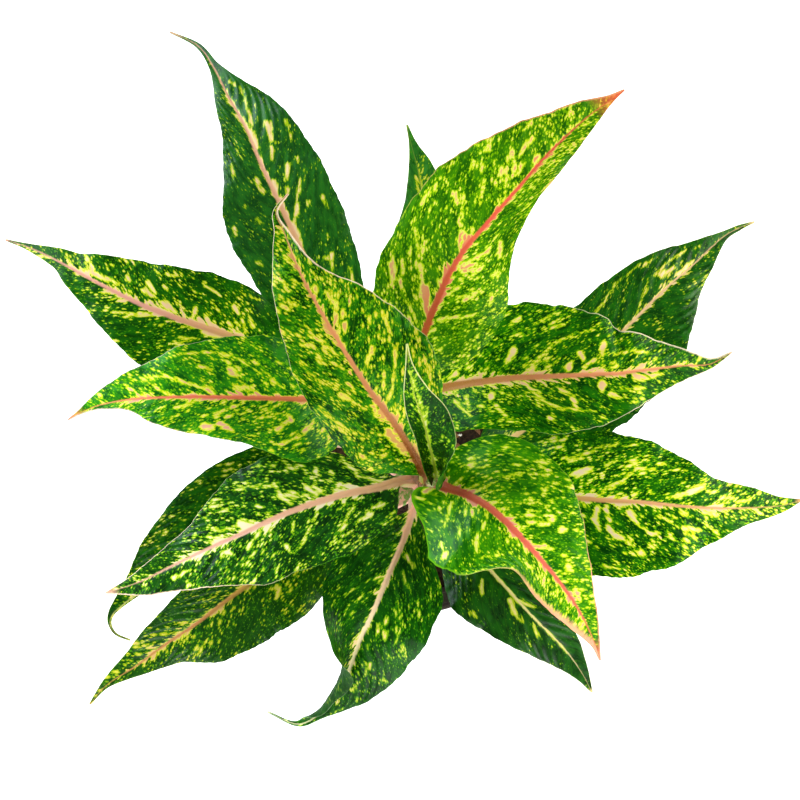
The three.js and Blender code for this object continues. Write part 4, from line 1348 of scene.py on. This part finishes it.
            (38, -45, 52, -39, 0.5), (52, -39, 64, -36, 0.5), (66, -36.5, 74, -38, 0.7),
            (35, -33, 38, -32, 1.4), (44, -28, 48, -27, 0.6), (72, -46, 74, -43, 1.2),
            (42, -52, 46, -54, 0.9), (50, -55, 60, -52, 0.9), (60, -52, 72, -51, 0.5),
            (52, -58, 56, -57.5, 1), (73, -53, 75, -53, 1.2), (64, -56, 66, -55.8, 0.8),
            (69, -55.5, 71, -55.5, 0.8), (58, -62, 66, -62, 0.5), (70, -62, 75, -62, 1.1),
            (76, -60, 77, -60, 1.4), (81, -65, 83, -65, 2.1), (58, -65, 63, -64, 1), (66, -73, 72, -74, 1.2),
            (72, -73, 76, -74, 1.6), (62, -72, 63, -79, 0.8), (43, -56, 43, -60, 1.1),
            (43, -60, 39, -68, 0.6), (38, -68, 38.5, -76, 0.8), (30, -64, 29.5, -69, 0.8),
            (26, -51, 24, -57, 0.6), (24, -58, 22, -64, 0.35), (20.5, -72, 21, -75, 0.8),
            (22, -78, 23.5, -76.5, 1.4), (20, -54, 20, -53, 1), (27, -45, 34, -48, 1),
            (12, -46, 17, -43, 1.6), (40, -79, 50, -77.5, 0.35), (65, -83, 66, -84, 1),
            (84, -84, 86, -85, 1.7), (88, -95, 90, -100, 1.3), (82, -95, 87, -100, 1), (56, -84, 62, -92, 1),
            (62, -92, 70, -100, 1.2), (70, -100, 80, -109, 1), (80, -109, 90, -117, 0.8),
        ),
        patches=(
            (20, -72, 14, -0.2), (86, -104, 12, 0.05), (70, -94, 10, 0.06), (88, -90, 12, 0.05),
            (35, -72, 14, -0.05), (62, -30, 12, -0.06),
        ),
        stations=(
            (21, -42.6, 279, 2.6, 2.6), (22.5, -43.2, 281.5, 4, 4), (24.5, -44, 285, 7, 10),
            (27, -45, 289, 17, 18), (35, -48, 297, 33, 36), (45, -54, 303, 38, 38), (56, -64, 305, 38, 33),
            (67, -76, 301, 31, 14), (79, -90, 293, 20, 14), (90, -106, 282, 9, 9.4), (97, -121, 270, 3, 2.5),
            (100, -130, 262, 0.5, 0.5),
        ),
    ),
    EvergreenLeaf(
        node="leaf_over_centre", slot="leaf_young", cane=CANE_A, node_height=240, azimuth=142, lean=12,
        fold=(18, 12, 18), ripple=1.6, phase=0.3, seed=4, girth=0.85, rims=(0.25, 0.9),
        # Cream, midrib base, stalk and stalk mottle: this leaf's own colours darkened by painted shade of
        # the crown, where its base lies; the darker cream covers the whole blade.
        skin=replace(
            FRESH, deep="#063a00", green="#257702", lime="#5b9c03", yellow="#bcc012", pale="#dcdc50",
            cream="#cca458", rib_base="#6a3408", stalk="#a8683c", stalk_green="#6c6a24", rib_tip="#d48c5a",
            rim="#ffe0b8", tip_reach=7, feather=3.4, rib_width=1.15,
        ),
        streaks=(
            (-56, 76, -48, 66, 0.6), (-43, 56, -42, 54, 1.8), (-58, 58, -57, 55, 1), (-56, 50, -54, 46, 0.8),
            (-37, 54, -32, 47, 0.7), (-33, 44, -31, 36, 0.7), (-31, 36, -29, 30, 0.6),
            (-28, 38, -27, 34, 1.8), (-45, 34, -42, 31, 1), (-48, 38, -40, 30, 0.4), (-40, 30, -31, 22, 0.8),
            (-38, 26, -37, 24, 1.6), (-41, 21, -39, 18, 1.2), (-50, 19, -44, 11, 0.5),
            (-44, 11, -32, 5, 0.5), (-30, 3, -24, 0, 1.4), (-40, -4, -32, -11, 0.6),
            (-32, -11, -22, -17, 0.6), (-26, 8, -22, 4, 1), (-16, 22, -18, 14, 1), (-14, 26, -15, 22, 1.2),
            (-2, 28, -3, 14, 0.8), (-3, 14, -3, 8, 0.8), (-3, 8, -7, -2, 0.8), (-9, 44, -5, 34, 0.7),
            (-13, -3, -12, -8, 1.8), (-3, -3, 0, -8, 1.2), (-6, -16, 2, -26, 2.4), (14, 17, 15, 14, 1.1),
            (15, 12, 15, 6, 0.8),
        ),
        patches=((-18, 40, 14, 0.03), (-40, 8, 14, -0.05), (-46, 40, 9, -0.06)),
        stations=(
            (11.5, -36, 284, 2.8, 2.8), (5, -24, 299, 20, 12), (-4, -10, 316, 28, 30), (-16, 6, 328, 29, 38),
            (-28, 25, 336, 28, 34), (-40, 45, 340, 22, 24), (-50, 64, 338, 15, 9), (-58, 84, 331, 5, 2),
            (-62, 94, 326, 1.5, 1), (-56, 103, 322, 0.5, 0.5),
        ),
    ),
    EvergreenLeaf(
        node="leaf_young_rolled", slot="leaf_young", cane=CANE_A, node_height=250, azimuth=69, lean=12,
        fold=(20, 34, 20), ripple=0.4, waves=2, phase=0, seed=5, girth=0.7, on_top=True, rims=(0.35, 0.5),
        skin=replace(
            DARK, deep="#052c00", green="#0b4200", lime="#387c00", yellow="#84ac02", pale="#b9cf31",
            cream="#dfe3a0", rib_base="#7d9a10", rib_tip="#a4ac40", rib_width=0.6, feather=1.2,
            back="#2c5c10", stalk="#6f8f3a", roughness=0.5, sheen=0.06, rim="#d2d48c", marked=-0.06,
        ),
        curls=(
            (Side.LEFT, 0, 40), (Side.RIGHT, 0, 60), (Side.LEFT, 1, 60), (Side.RIGHT, 1, 150),
            (Side.LEFT, 2, 45), (Side.RIGHT, 2, 130), (Side.LEFT, 3, 30), (Side.RIGHT, 3, 75),
            (Side.LEFT, 4, 15), (Side.RIGHT, 4, 30),
        ),
        streaks=((5, 14, 9, 2, 0.7), (9, 2, 12, -8, 1), (13, -8, 14, -4, 0.8), (12, -8, 15, -22, 1)),
        patches=((22, -6, 8, -0.12),),
        stations=(
            (18, -37.5, 286, 2.4, 2.4), (17.5, -35, 293, 6, 12), (16, -28, 309, 8, 17),
            (14, -20, 325, 8, 19), (12, -12, 339, 8, 19), (9, -3, 351, 7, 13), (6.5, 5, 362, 5, 8),
            (5, 13, 371, 2.6, 4), (4, 20, 378, 1.2, 1.8), (3.5, 28, 385, 0.5, 0.5),
        ),
    ),
    EvergreenLeaf(
        node="leaf_back_middle", slot="leaf_old", cane=CANE_B, node_height=150, azimuth=66, lean=20,
        fold=(20, 14, 16), ripple=0.8, waves=3, phase=0, seed=7,
        skin=replace(
            DARK, deep="#16580c", green="#2c7a12", rib_base="#8aa038", rib_tip="#8aa038", rib_width=0.6,
            tip_reach=3, marked=-0.18, feather=0.6, sheen=0.28,
        ),
        streaks=((8, 112, 10, 100, 0.5),),
        stations=(
            (2, 30, 205, 3, 3), (9, 55, 213, 19.6, 20), (12, 80, 218, 15.6, 16), (11.5, 100, 220, 9, 12),
            (8.5, 117, 217, 4, 7), (5.5, 128, 213, 1, 3), (3.5, 137.5, 208, 0.5, 0.5),
        ),
    ),
    EvergreenLeaf(
        node="leaf_back_left", slot="leaf_old", cane=CANE_B, node_height=164, azimuth=112, lean=24,
        fold=(20, 12, 20), roll=(0, -6, 0), ripple=1.4, phase=0.2, seed=1, vein_slope=1.9,
        skin=replace(
            DARK, deep="#0b460a", green="#1e6612", yellow="#a6bf09", pale="#e6cf69", cream="#f2d9a0",
            rib_base="#dca466", rib_tip="#e6aa84", rim="#5d8a2c", feather=1.6, rib_width=1.2, marked=-0.17,
            sheen=0.25,
        ),
        streaks=(
            (-75, 134, -71, 126, 2), (-63, 109, -61, 101, 1.5), (-50, 110, -52, 98, 0.8),
            (-51, 98, -53, 88, 1.2), (-54, 88, -49, 77, 1.8), (-56, 106, -57, 103, 1),
            (-56, 118, -57, 110, 1.2), (-66, 138, -64, 130, 1.8), (-64, 126, -64, 120, 1),
            (-85, 159, -82, 157, 0.7), (-80, 156, -76, 146, 0.5), (-76, 146, -73, 134, 0.7),
            (-57, 140, -54, 130, 0.6), (-52, 121, -51, 119, 0.9), (-72, 110, -68, 103, 1.2),
            (-84, 118, -83, 110, 0.5), (-72, 90, -69, 87, 0.7), (-78, 97, -77, 96, 0.8),
            (-83, 86, -82, 82, 0.9), (-71, 69, -69, 67, 1.2), (-34, 73, -34, 62, 0.8),
            (-37, 71, -35, 70, 0.8), (-25, 66, -24, 60, 0.8), (-46, 99, -46, 97, 0.7),
            (-39, 102, -36, 96, 0.7),
        ),
        patches=((-38, 85, 16, -0.08), (-45, 125, 12, -0.05)),
        stations=(
            (-24, 19, 216, 3, 3), (-35, 44, 228, 21, 18), (-48, 72, 236, 28, 25.9), (-60, 98, 241, 30, 27.8),
            (-69, 117, 242, 21, 26.4), (-77, 136, 240, 13, 21), (-86, 152, 234, 7, 12),
            (-93, 166, 228, 2, 3), (-101, 177, 222, 1, 1.3), (-115, 184, 216, 0.5, 0.5),
        ),
    ),
    EvergreenLeaf(
        node="leaf_left_back", slot="leaf_middle", cane=CANE_B, node_height=181, azimuth=176, lean=28,
        fold=(20, 10, 14), ripple=1.2, phase=0.7, seed=2,
        skin=replace(
            FRESH, deep="#073e00", green="#165f01", lime="#448a01", yellow="#c2cf0d", pale="#ece266",
            cream="#f2d59c", rib_base="#c49a48", rib_tip="#e09c84", rib_width=1.3, tip_reach=3, feather=3,
            marked=-0.02,
        ),
        streaks=(
            (-118, 48, -112, 44, 2), (-130, 43, -120, 43, 1.2), (-143, 44, -130, 42, 0.9),
            (-107, 39, -100, 36, 1.8), (-98, 34, -88, 32, 1.8), (-160, 66, -156, 64, 0.9),
            (-155, 64, -141, 58, 1.5), (-147, 68, -143, 67, 0.6), (-126, 59, -122, 53, 1.2),
            (-128, 55, -124, 52, 1.4), (-117, 63, -112, 62, 0.7), (-118, 57, -116, 55, 0.9),
            (-98, 58, -90, 52, 0.9), (-83, 47, -81, 43, 1.5), (-79, 40, -77, 33, 0.8),
            (-97, 43, -95, 38, 1.1), (-102, 46, -104, 40, 1.2), (-75, 40, -73, 36, 0.9),
            (-76, 52, -70, 50, 0.5), (-110, 31, -100, 31, 0.8), (-112, 28, -108, 27, 1),
        ),
        patches=((-105, 55, 9, -0.09),),
        stations=(
            (-50, 14, 238, 3, 3), (-65, 24, 247, 20, 17), (-82, 31, 255, 26, 25), (-97, 36, 260, 28, 27),
            (-112, 41, 263, 30.4, 25.4), (-130, 48, 263, 23.7, 21.7), (-150, 58, 259, 14.5, 15.4),
            (-163, 65, 254, 8.1, 9), (-172, 70, 250, 3.5, 6), (-185, 76, 243, 1.5, 2),
            (-197, 80, 236, 0.5, 0.5),
        ),
    ),
    EvergreenLeaf(
        node="leaf_left_front", slot="leaf_middle", cane=CANE_B, node_height=194, azimuth=190, lean=16,
        fold=(20, 8, 14), ripple=1.4, phase=0.4, seed=3, rims=(0.7, 0.3),
        skin=replace(
            FRESH, deep="#0f580c", green="#2b880c", lime="#67b504", yellow="#cfdc15", pale="#ecec5c",
            cream="#eeb490", rib_base="#bc743c", rib_tip="#ea7652", rim="#e6c8b0", tip_reach=14, marked=0.0,
        ),
        streaks=(
            (-118, 12, -105, 8, 0.9), (-105, 8, -92, 4, 0.9), (-96, 5, -93, 3, 1.2), (-85, 15, -81, 12, 1.8),
            (-90, 23, -84, 22, 1), (-110, 23, -90, 24, 0.5), (-84, 22, -72, 15, 0.5), (-69, 15, -58, 6, 0.4),
            (-84, 8, -76, 3, 0.6), (-78, 7, -70, 3, 0.8), (-100, 17, -94, 15, 0.9),
            (-130, 11, -118, 12, 0.5), (-112, -4, -102, -1, 0.8), (-92, -8, -88, -5, 1.4),
            (-98, -13, -93, -14, 2), (-90, -12, -84, -15, 1.8), (-84, -3, -82, -3, 1.2),
            (-66, -6, -60, -1, 0.5), (-62, -15, -56, -10, 1.3), (-55, -9, -54, -11, 1.5),
            (-48, -16, -43, -11, 1.4), (-59, -22, -50, -18, 1), (-50, -26, -45, -24, 0.6),
            (-65, -25, -63, -26, 1.2),
        ),
        stations=(
            (-19, -1, 256, 3, 3), (-35, 0, 270, 24, 20), (-52, 0.5, 283, 31, 28), (-72, 1, 292, 24, 31),
            (-92, 1.5, 297, 20, 29), (-110, 1.5, 298, 17, 25), (-125, 1, 295, 12, 18),
            (-137, 0, 289, 5, 12.4), (-150, -2.5, 280, 2, 6.4), (-159, -6, 272, 1, 2),
            (-166, -10, 265, 0.5, 0.5),
        ),
    ),
    EvergreenLeaf(
        node="leaf_right_middle", slot="leaf_middle", cane=CANE_B, node_height=206, azimuth=-15, lean=18,
        fold=(18, 10, 14), ripple=1.5, phase=0.9, seed=9, lobes=(4, 10), rims=(0.9, 0.5),
        skin=replace(
            FRESH, lime="#64ac01", pale="#f2ee64", cream="#f5d6a0", rib_base="#ac7430", rib_width=1.2,
            rib_tip="#ea9668", rim="#fff0cc", feather=3.4, marked=-0.02, tip_reach=3,
        ),
        streaks=(
            (60, 41, 53, 36, 0.9), (100, 36, 86, 33, 0.4), (86, 32, 78, 29, 0.6), (78, 29, 72, 23, 0.7),
            (72, 23, 68, 19, 0.7), (57, 25, 53, 18, 1.9), (28, 13, 24, 11, 1.5), (63, 16, 68, 19, 0.9),
            (84, 16, 86, 19, 1.7), (90, 24, 92, 20, 1.5), (102, 28, 101, 24, 1.8), (97, 20, 92, 16, 1.2),
            (108, 17, 101, 15, 1.1), (107, 23, 118, 25, 0.6), (118, 24, 124, 24, 0.8), (62, 9, 68, 3, 0.9),
            (68, 3, 74, -2, 1), (74, -2, 82, -4.5, 0.8), (82, -4.5, 98, -5.5, 0.4), (80, 5, 87, 2, 0.9),
            (86, 1, 88, -3, 1.6), (101, 8, 101, 5, 2.2), (118, 12, 124, 11, 2), (126, 12, 131, 13, 1.2),
            (110, 6, 115, 5, 0.6), (118, 6, 123, 6, 0.8), (46, 3, 45, 0, 1.8), (48, -3, 53, -8, 1),
            (33, 1, 34, -2, 1.2), (27, 0, 35, -8, 0.8), (64, 6, 70, 4, 0.8), (75, -9, 77, -9, 1.4),
            (105, 3, 110, 1, 1.2), (66, 38, 80, 44, 0.5), (76, 36, 82, 38, 0.8),
        ),
        patches=((88, -5, 20, -0.12), (60, 30, 25, 0.04), (95, 38, 7, -0.12)),
        stations=(
            (17, 5, 246, 3, 3), (27, 7, 254, 15, 20), (40, 9, 261, 27, 23), (57, 11, 267, 36.5, 26),
            (80, 12, 270, 35.3, 28.6), (102, 13, 269, 29, 24.8), (111, 13.5, 267, 22, 20.4),
            (122, 15, 264, 18, 15.5), (140, 17, 256, 9.3, 7.5), (155, 18, 249, 3, 2.5),
            (166, 24, 244, 0.5, 0.5),
        ),
    ),
    EvergreenLeaf(
        node="leaf_back_right", slot="leaf_young", cane=CANE_B, node_height=219, azimuth=80, lean=10,
        fold=(18, 12, 16), ripple=1.4, phase=0.1, seed=6, rims=(1.0, 0.2), vein_slope=1.3,
        skin=replace(
            BRIGHT, yellow="#cfe41c", pale="#f0ee68", rib_width=1.15, cream="#eab678", rib_base="#b4561c",
            rib_tip="#ee5e46", rim="#e6a070", tip_reach=24,
        ),
        streaks=(
            (7.8, 86, 9.5, 68, 0.7), (9.5, 68, 11, 56, 1.1), (12, 56, 14, 42, 2.6), (-4, 68, -4, 58, 1.5),
            (1, 70, 2, 62, 1.1), (0, 60, 3, 50, 0.9), (3, 50, 9, 38, 1), (20, 60, 21, 54, 1.3),
            (31, 84, 30, 72, 1.3), (27, 103, 29, 98, 1.7), (32, 103, 30, 88, 0.5), (42, 110, 40, 98, 0.8),
            (48, 109, 49, 106, 1), (37, 119, 36, 113, 1), (66, 131, 57, 119, 1.1), (56, 124, 56, 120, 1.4),
            (69, 122, 66, 117, 1.3), (62, 119, 58, 112, 0.8), (54, 112, 52, 101, 0.9),
            (14, 104, 11, 98, 0.9), (31, 66, 38, 68, 1.8), (32, 68, 44, 74, 0.9), (44, 74, 45, 77, 1),
            (50, 79, 50, 72, 1.2), (33, 52, 31, 51, 1), (36, 53, 40, 54, 0.8), (46, 53, 45, 47, 1.1),
            (19, 40, 40, 43, 0.7), (13, 32, 18, 36, 0.9), (46, 62, 49, 64, 0.8), (66, 139, 62, 135, 0.8),
            (44, 127, 40, 123, 0.8),
        ),
        patches=((22, 92, 16, -0.07), (62, 104, 14, 0.14), (40, 36, 11, -0.08), (50, 95, 8, -0.05)),
        stations=(
            (6, 14, 270, 3, 3), (10, 27, 285, 22, 22), (19, 51, 302, 33, 33.5), (30, 72, 314, 35, 29.6),
            (45, 90, 322, 36.4, 17), (60, 107, 325, 31, 11), (75, 124, 322, 21, 10), (92, 140, 313, 10.2, 6),
            (104, 149, 304, 3.5, 2), (112, 155, 298, 0.5, 0.5),
        ),
    ),
)


# ---- stems, soil and pot -------------------------------------------------------------------------


@dataclass
class PlantStem:
    """One cane with a raised ring under each leaf and at each scar of a shed leaf."""

    cane: Cane
    sides: int = 40
    step: float = 0.7
    scar_drop: float = 2.4
    scar_half_height: float = 1.1
    scar_rise: float = 0.7
    top_bevel: float = 0.8
    lump_length: float = 9
    lumps_round: float = 1.5
    lump_share: float = 0.035
    sharp_angle: float = 60

    def ring_heights(self) -> list[float]:
        """Heights of the rings, lowest first."""
        own = [leaf for leaf in LEAVES if leaf.cane is self.cane and not leaf.on_top]
        return sorted([*self.cane.scars, *(leaf.node_height - self.scar_drop for leaf in own)])

    def build(self) -> bpy.types.Object:
        """Builds the cane's mesh along its lean."""
        cane = self.cane
        heights = np.arange(cane.foot[2], cane.top[2] + self.step / 2, self.step)
        scar = np.zeros(len(heights))
        for ring in self.ring_heights():
            scar = np.maximum(scar, np.exp(-(((heights - ring) / self.scar_half_height) ** 2)))
        radii = np.array([cane.radius(h) for h in heights]) + self.scar_rise * scar
        radii[-1] -= self.top_bevel
        angles = np.linspace(0, 2 * math.pi, self.sides, endpoint=False)
        points, scars = [], []
        for height, radius, nearness in zip(heights, radii, scar):
            for angle in angles:
                out = Vector((math.cos(angle), math.sin(angle), 0))
                lump = noise.noise(out * self.lumps_round + Vector((0, 0, height / self.lump_length)))
                points.append(cane.axis(height) + out * radius * (1 + self.lump_share * lump))
                scars.append(nearness)
        faces = ring_faces(len(heights), self.sides)
        faces.append(tuple(reversed(range(self.sides))))
        faces.append(tuple(range(len(points) - self.sides, len(points))))
        made = new_object(f"{cane.node}_living", np.array(points), faces, self.sharp_angle)
        set_values(made.data, "scar", np.array(scars))
        return made

    def dress(self, piece: bpy.types.Object, material: bpy.types.Material) -> None:
        """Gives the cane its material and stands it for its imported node."""
        seat(piece, "stem_skin", material, self.cane.node)


@dataclass
class NurseryPot:
    """Round tapering pot with a banded rim and drain holes, in mm."""

    base_radius: float = 57
    shoulder_radius: float = 76
    rim_band: float = 15
    wall: float = 2.2
    floor: float = 2.6
    drain_circle: float = 42
    drain_radius: float = 5
    drains: int = 8
    drill_reach: tuple[float, float] = (-2, 6)
    drill_sides: int = 28
    sides: int = 180
    sharp_angle: float = 40

    def __post_init__(self) -> None:
        """Takes the pot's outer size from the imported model."""
        low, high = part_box("pot")
        self.height = high.z / MM
        self.rim_radius = (high.x - low.x) / 2 / MM

    def profile(self) -> list[tuple[float, float]]:
        """The pot's wall as (radius, height) pairs, outside first, from corners with their rounding."""
        shoulder = self.height - self.rim_band
        inside = self.rim_radius - self.wall
        return rounded(
            [
                (0, 0, 0),
                (self.base_radius, 0, 2.4),
                (self.shoulder_radius, shoulder, 0.7),
                (self.rim_radius, shoulder, 1.3),
                (self.rim_radius, self.height, 1.0),
                (inside, self.height, 1.0),
                (inside, shoulder + self.wall, 0.9),
                (self.shoulder_radius - self.wall, shoulder + self.wall, 0.8),
                (self.base_radius - self.wall, self.floor, 2.0),
                (0, self.floor, 0),
            ]
        )

    def build(self) -> bpy.types.Object:
        """Builds the pot and cuts its drain holes."""
        points, faces = turned(self.profile(), self.sides)
        pot = new_object("nursery_pot", points, faces)
        cutters = []
        for i in range(self.drains):
            angle = 2 * math.pi * i / self.drains
            centre = self.drain_circle * np.array([math.cos(angle), math.sin(angle), 0])
            low, high = self.drill_reach
            drill = [(0, low), (self.drain_radius, low), (self.drain_radius, high), (0, high)]
            hole_points, hole_faces = turned(drill, self.drill_sides)
            cutters.append(new_object(f"drill_{i}", hole_points + centre, hole_faces))
        for cutter in cutters:
            cut = pot.modifiers.new("drain", "BOOLEAN")
            cut.object = cutter
            cut.operation = "DIFFERENCE"
        shaped = bpy.data.meshes.new_from_object(pot.evaluated_get(bpy.context.evaluated_depsgraph_get()))
        pot.modifiers.clear()
        pot.data = shaped
        shaped.polygons.foreach_set("use_smooth", np.ones(len(shaped.polygons), bool))
        shaped.set_sharp_from_angle(angle=math.radians(self.sharp_angle))
        for cutter in cutters:
            bpy.data.objects.remove(cutter)
        return pot

    def dress(self, piece: bpy.types.Object) -> None:
        """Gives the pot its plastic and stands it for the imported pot."""
        seat(piece, "pot_plastic", POT_PLASTIC.material(), "pot")


@dataclass
class PottingSoil:
    """Peat-based potting mix that fills the pot, with crumbs, bark chips and perlite on top, in mm.

    pot_taper is how far the pot widens per mm of height, tilt how far lumps lean in radians, lumpiness
    how uneven they are, lengths and widths their shape, smallness how much the small ones prevail, and
    showing how far each one is lifted out of the soil.
    """

    edge_height: float = 116
    crown_height: float = 122
    crown_radius: float = 42
    pot_taper: float = 19 / 125
    wave_length: float = 7
    wave_height: float = 1.1
    sinking: float = 0.6
    rim_gap: float = 2.5
    stem_clearance: float = 9.5
    lumpiness: float = 0.28
    lengths: tuple[float, float] = (0.8, 1.5)
    widths: tuple[float, float] = (0.6, 1.0)
    smallness: float = 2.2
    tilt: float = 0.35
    showing: float = 0.35
    bed_rings: int = 70
    bed_sides: int = 200
    crumbs: int = 900
    chips: int = 130
    beads: int = 70
    pieces: dict[str, bpy.types.Object] = field(default_factory=dict)

    def __post_init__(self) -> None:
        """Takes the soil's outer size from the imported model."""
        low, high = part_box("soil")
        self.low = low.z / MM
        self.edge_radius = (high.x - low.x) / 2 / MM
        self.base_radius = self.edge_radius - (self.edge_height - self.low) * self.pot_taper

    def surface(self, x: float, y: float) -> float:
        """Height of the soil's surface at one place."""
        radius = math.hypot(x, y)
        slope = (self.edge_radius - radius) / (self.edge_radius - self.crown_radius)
        smooth = self.edge_height + (self.crown_height - self.edge_height) * min(1, max(0, slope)) ** 0.8
        lumps = noise.fractal(Vector((x / self.wave_length, y / self.wave_length, 3.1)), 1.0, 2.0, 4)
        return smooth + self.wave_height * lumps - self.sinking

    def build_bed(self) -> bpy.types.Object:
        """Builds the body of soil, with a lumpy top."""
        radii = np.linspace(self.edge_radius, 0, self.bed_rings)[:-1]
        profile = [(0, self.low), (self.base_radius, self.low)]
        profile += [(radius, self.edge_height) for radius in radii] + [(0, self.crown_height)]
        points, faces = turned(profile, self.bed_sides)
        top = points[:, 2] > self.low + 1
        points[top, 2] = [self.surface(x, y) for x, y in points[top, :2]]
        return new_object("soil_bed", points, faces)

    def scatter(
        self, name: str, count: int, sizes: tuple[float, float], flat: float, seed: int
    ) -> bpy.types.Object:
        """Strews small rough lumps over the soil, clear of the stems.

        Args:
            name: name of the piece.
            count: how many lumps.
            sizes: their smallest and largest radius in mm.
            flat: height of a lump as a share of its width.
            seed: seed of the random draw.

        Returns:
            All the lumps as one piece.
        """
        rng = np.random.default_rng(seed)
        base, base_faces = lump_shape()
        stems = [cane.axis(self.crown_height) for cane in (CANE_A, CANE_B)]
        points, faces = [], []
        while len(points) < count:
            angle, share = rng.uniform(0, 2 * math.pi), math.sqrt(rng.uniform())
            x, y = (share * (self.edge_radius - self.rim_gap) * f(angle) for f in (math.cos, math.sin))
            size = sizes[0] + (sizes[1] - sizes[0]) * rng.uniform() ** self.smallness
            if any(math.hypot(x - s.x, y - s.y) < self.stem_clearance + size for s in stems):
                continue
            shape = base * (1 + rng.uniform(-self.lumpiness, self.lumpiness, len(base)))[:, None]
            shape = shape * np.array([rng.uniform(*self.lengths), rng.uniform(*self.widths), flat]) * size
            turn = Matrix.Rotation(rng.uniform(0, 2 * math.pi), 3, "Z")
            for axis in "XY":
                turn = turn @ Matrix.Rotation(rng.normal(0, self.tilt), 3, axis)
            shape = shape @ np.array(turn).T
            lift = self.surface(x, y) + size * flat * self.showing
            faces += [tuple(v + len(points) * len(base) for v in f) for f in base_faces]
            points.append(shape + np.array([x, y, lift]))
        return new_object(name, np.concatenate(points), faces)

    def build(self) -> None:
        """Builds the bed and what lies on it."""
        self.pieces = {
            "bed": self.build_bed(),
            "crumbs": self.scatter("soil_crumbs", self.crumbs, (0.5, 2.0), 0.7, 41),
            "chips": self.scatter("bark_chips", self.chips, (1.3, 4.2), 0.35, 42),
            "beads": self.scatter("perlite_beads", self.beads, (0.6, 1.5), 0.85, 43),
        }

    def dress(self) -> None:
        """Gives each piece its material and stands them for the packed soil."""
        peat = PEAT.material()
        seat(self.pieces["bed"], "potting_soil", peat, "soil")
        seat(self.pieces["crumbs"], "potting_soil", peat)
        seat(self.pieces["chips"], "potting_soil", BARK.material())
        seat(self.pieces["beads"], "potting_soil", PERLITE.material())


def lump_shape() -> tuple[np.ndarray, Faces]:
    """Points and faces of a ball of radius 1 with 42 points, the base of every lump of soil."""
    mesh = bpy.data.meshes.new("lump")
    ball = bmesh.new()
    bmesh.ops.create_icosphere(ball, subdivisions=2, radius=1)
    ball.to_mesh(mesh)
    ball.free()
    points = np.array([v.co[:] for v in mesh.vertices])
    faces = [tuple(p.vertices) for p in mesh.polygons]
    bpy.data.meshes.remove(mesh)
    return points, faces


# ---- studio --------------------------------------------------------------------------------------


@dataclass(frozen=True)
class Softbox:
    """One soft studio light, placed and aimed in metres."""

    name: str
    place: tuple[float, float, float]
    size: float
    power: float
    tint: str = "#ffffff"
    aim: tuple[float, float, float] = (0, 0, 0.25)


@dataclass
class Studio:
    """Pale table, soft lights and a camera straight above the plant, as in the photo."""

    lens: float = 108
    sensor: float = 36
    floor_size: float = 12
    table_gap: float = 0.2  # mm below the pot
    card_glow: float = 0.85
    sky: float = 0.3
    softboxes: tuple[Softbox, ...] = (
        Softbox("window_left", (-1.9, 0.9, 0.9), 1.6, 84, "#e2edff"),
        Softbox("window_right", (1.9, -0.1, 0.8), 1.6, 50, "#fff8ee"),
        Softbox("window_front", (-0.2, -2.0, 0.9), 1.6, 46, "#ffffff"),
    )

    def build(self) -> None:
        """Builds the camera, the lights, the world and the table."""
        camera = bpy.data.objects.new("camera", bpy.data.cameras.new("camera"))
        camera.data.lens = self.lens
        camera.data.sensor_width = self.sensor
        camera.location = Vector(EYE) * MM
        bpy.context.scene.collection.objects.link(camera)
        bpy.context.scene.camera = camera
        for box in self.softboxes:
            lamp = bpy.data.lights.new(box.name, "AREA")
            lamp.size = box.size
            lamp.energy = box.power
            lamp.color = linear(box.tint)[:3]
            stand = bpy.data.objects.new(box.name, lamp)
            stand.location = box.place
            stand.rotation_euler = (Vector(box.aim) - Vector(box.place)).to_track_quat("-Z", "Y").to_euler()
            bpy.context.scene.collection.objects.link(stand)
        world = bpy.data.worlds.new("studio")
        world.use_nodes = True
        backdrop = world.node_tree.nodes["Background"]
        backdrop.inputs["Color"].default_value = linear("#ffffff")
        # The backdrop looks white where it is seen, and lights the plant less than that.
        seen = add_node(world.node_tree, "ShaderNodeLightPath").outputs["Is Camera Ray"]
        strength = add_node(world.node_tree, "ShaderNodeMapRange", {"Value": seen, "To Min": self.sky})
        world.node_tree.links.new(strength.outputs[0], backdrop.inputs["Strength"])
        bpy.context.scene.world = world
        self.table()
        bpy.context.scene.view_settings.view_transform = "Standard"

    def table(self) -> None:
        """Lays the pale table, a sheet of white card lit from below so that shadows stay light."""
        half = self.floor_size / 2 / MM
        square = ((-half, -half), (half, -half), (half, half), (-half, half))
        table = new_object("table", [(x, y, -self.table_gap) for x, y in square], [(0, 1, 2, 3)])
        card = Recipe("white card", Gloss(roughness=0.9, specular=0.1))
        card.shader.inputs["Base Color"].default_value = linear("#f4f4f2")
        card.shader.inputs["Emission Color"].default_value = linear("#ffffff")
        card.shader.inputs["Emission Strength"].default_value = self.card_glow
        table.data.materials.append(card.material)


def main() -> None:
    """Builds the plant in its pot and the studio round it."""
    logging.basicConfig(level=logging.INFO, format="%(name)s: %(message)s")
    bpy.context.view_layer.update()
    Studio().build()
    pot = NurseryPot()
    pot.dress(pot.build())
    soil = PottingSoil()
    soil.build()
    soil.dress()
    cane_skin = StemSkin().material()
    for cane in (CANE_A, CANE_B):
        stem = PlantStem(cane)
        stem.dress(stem.build(), cane_skin)
    for leaf in LEAVES:
        leaf.dress(leaf.build())


if __name__ == "__main__":
    main()
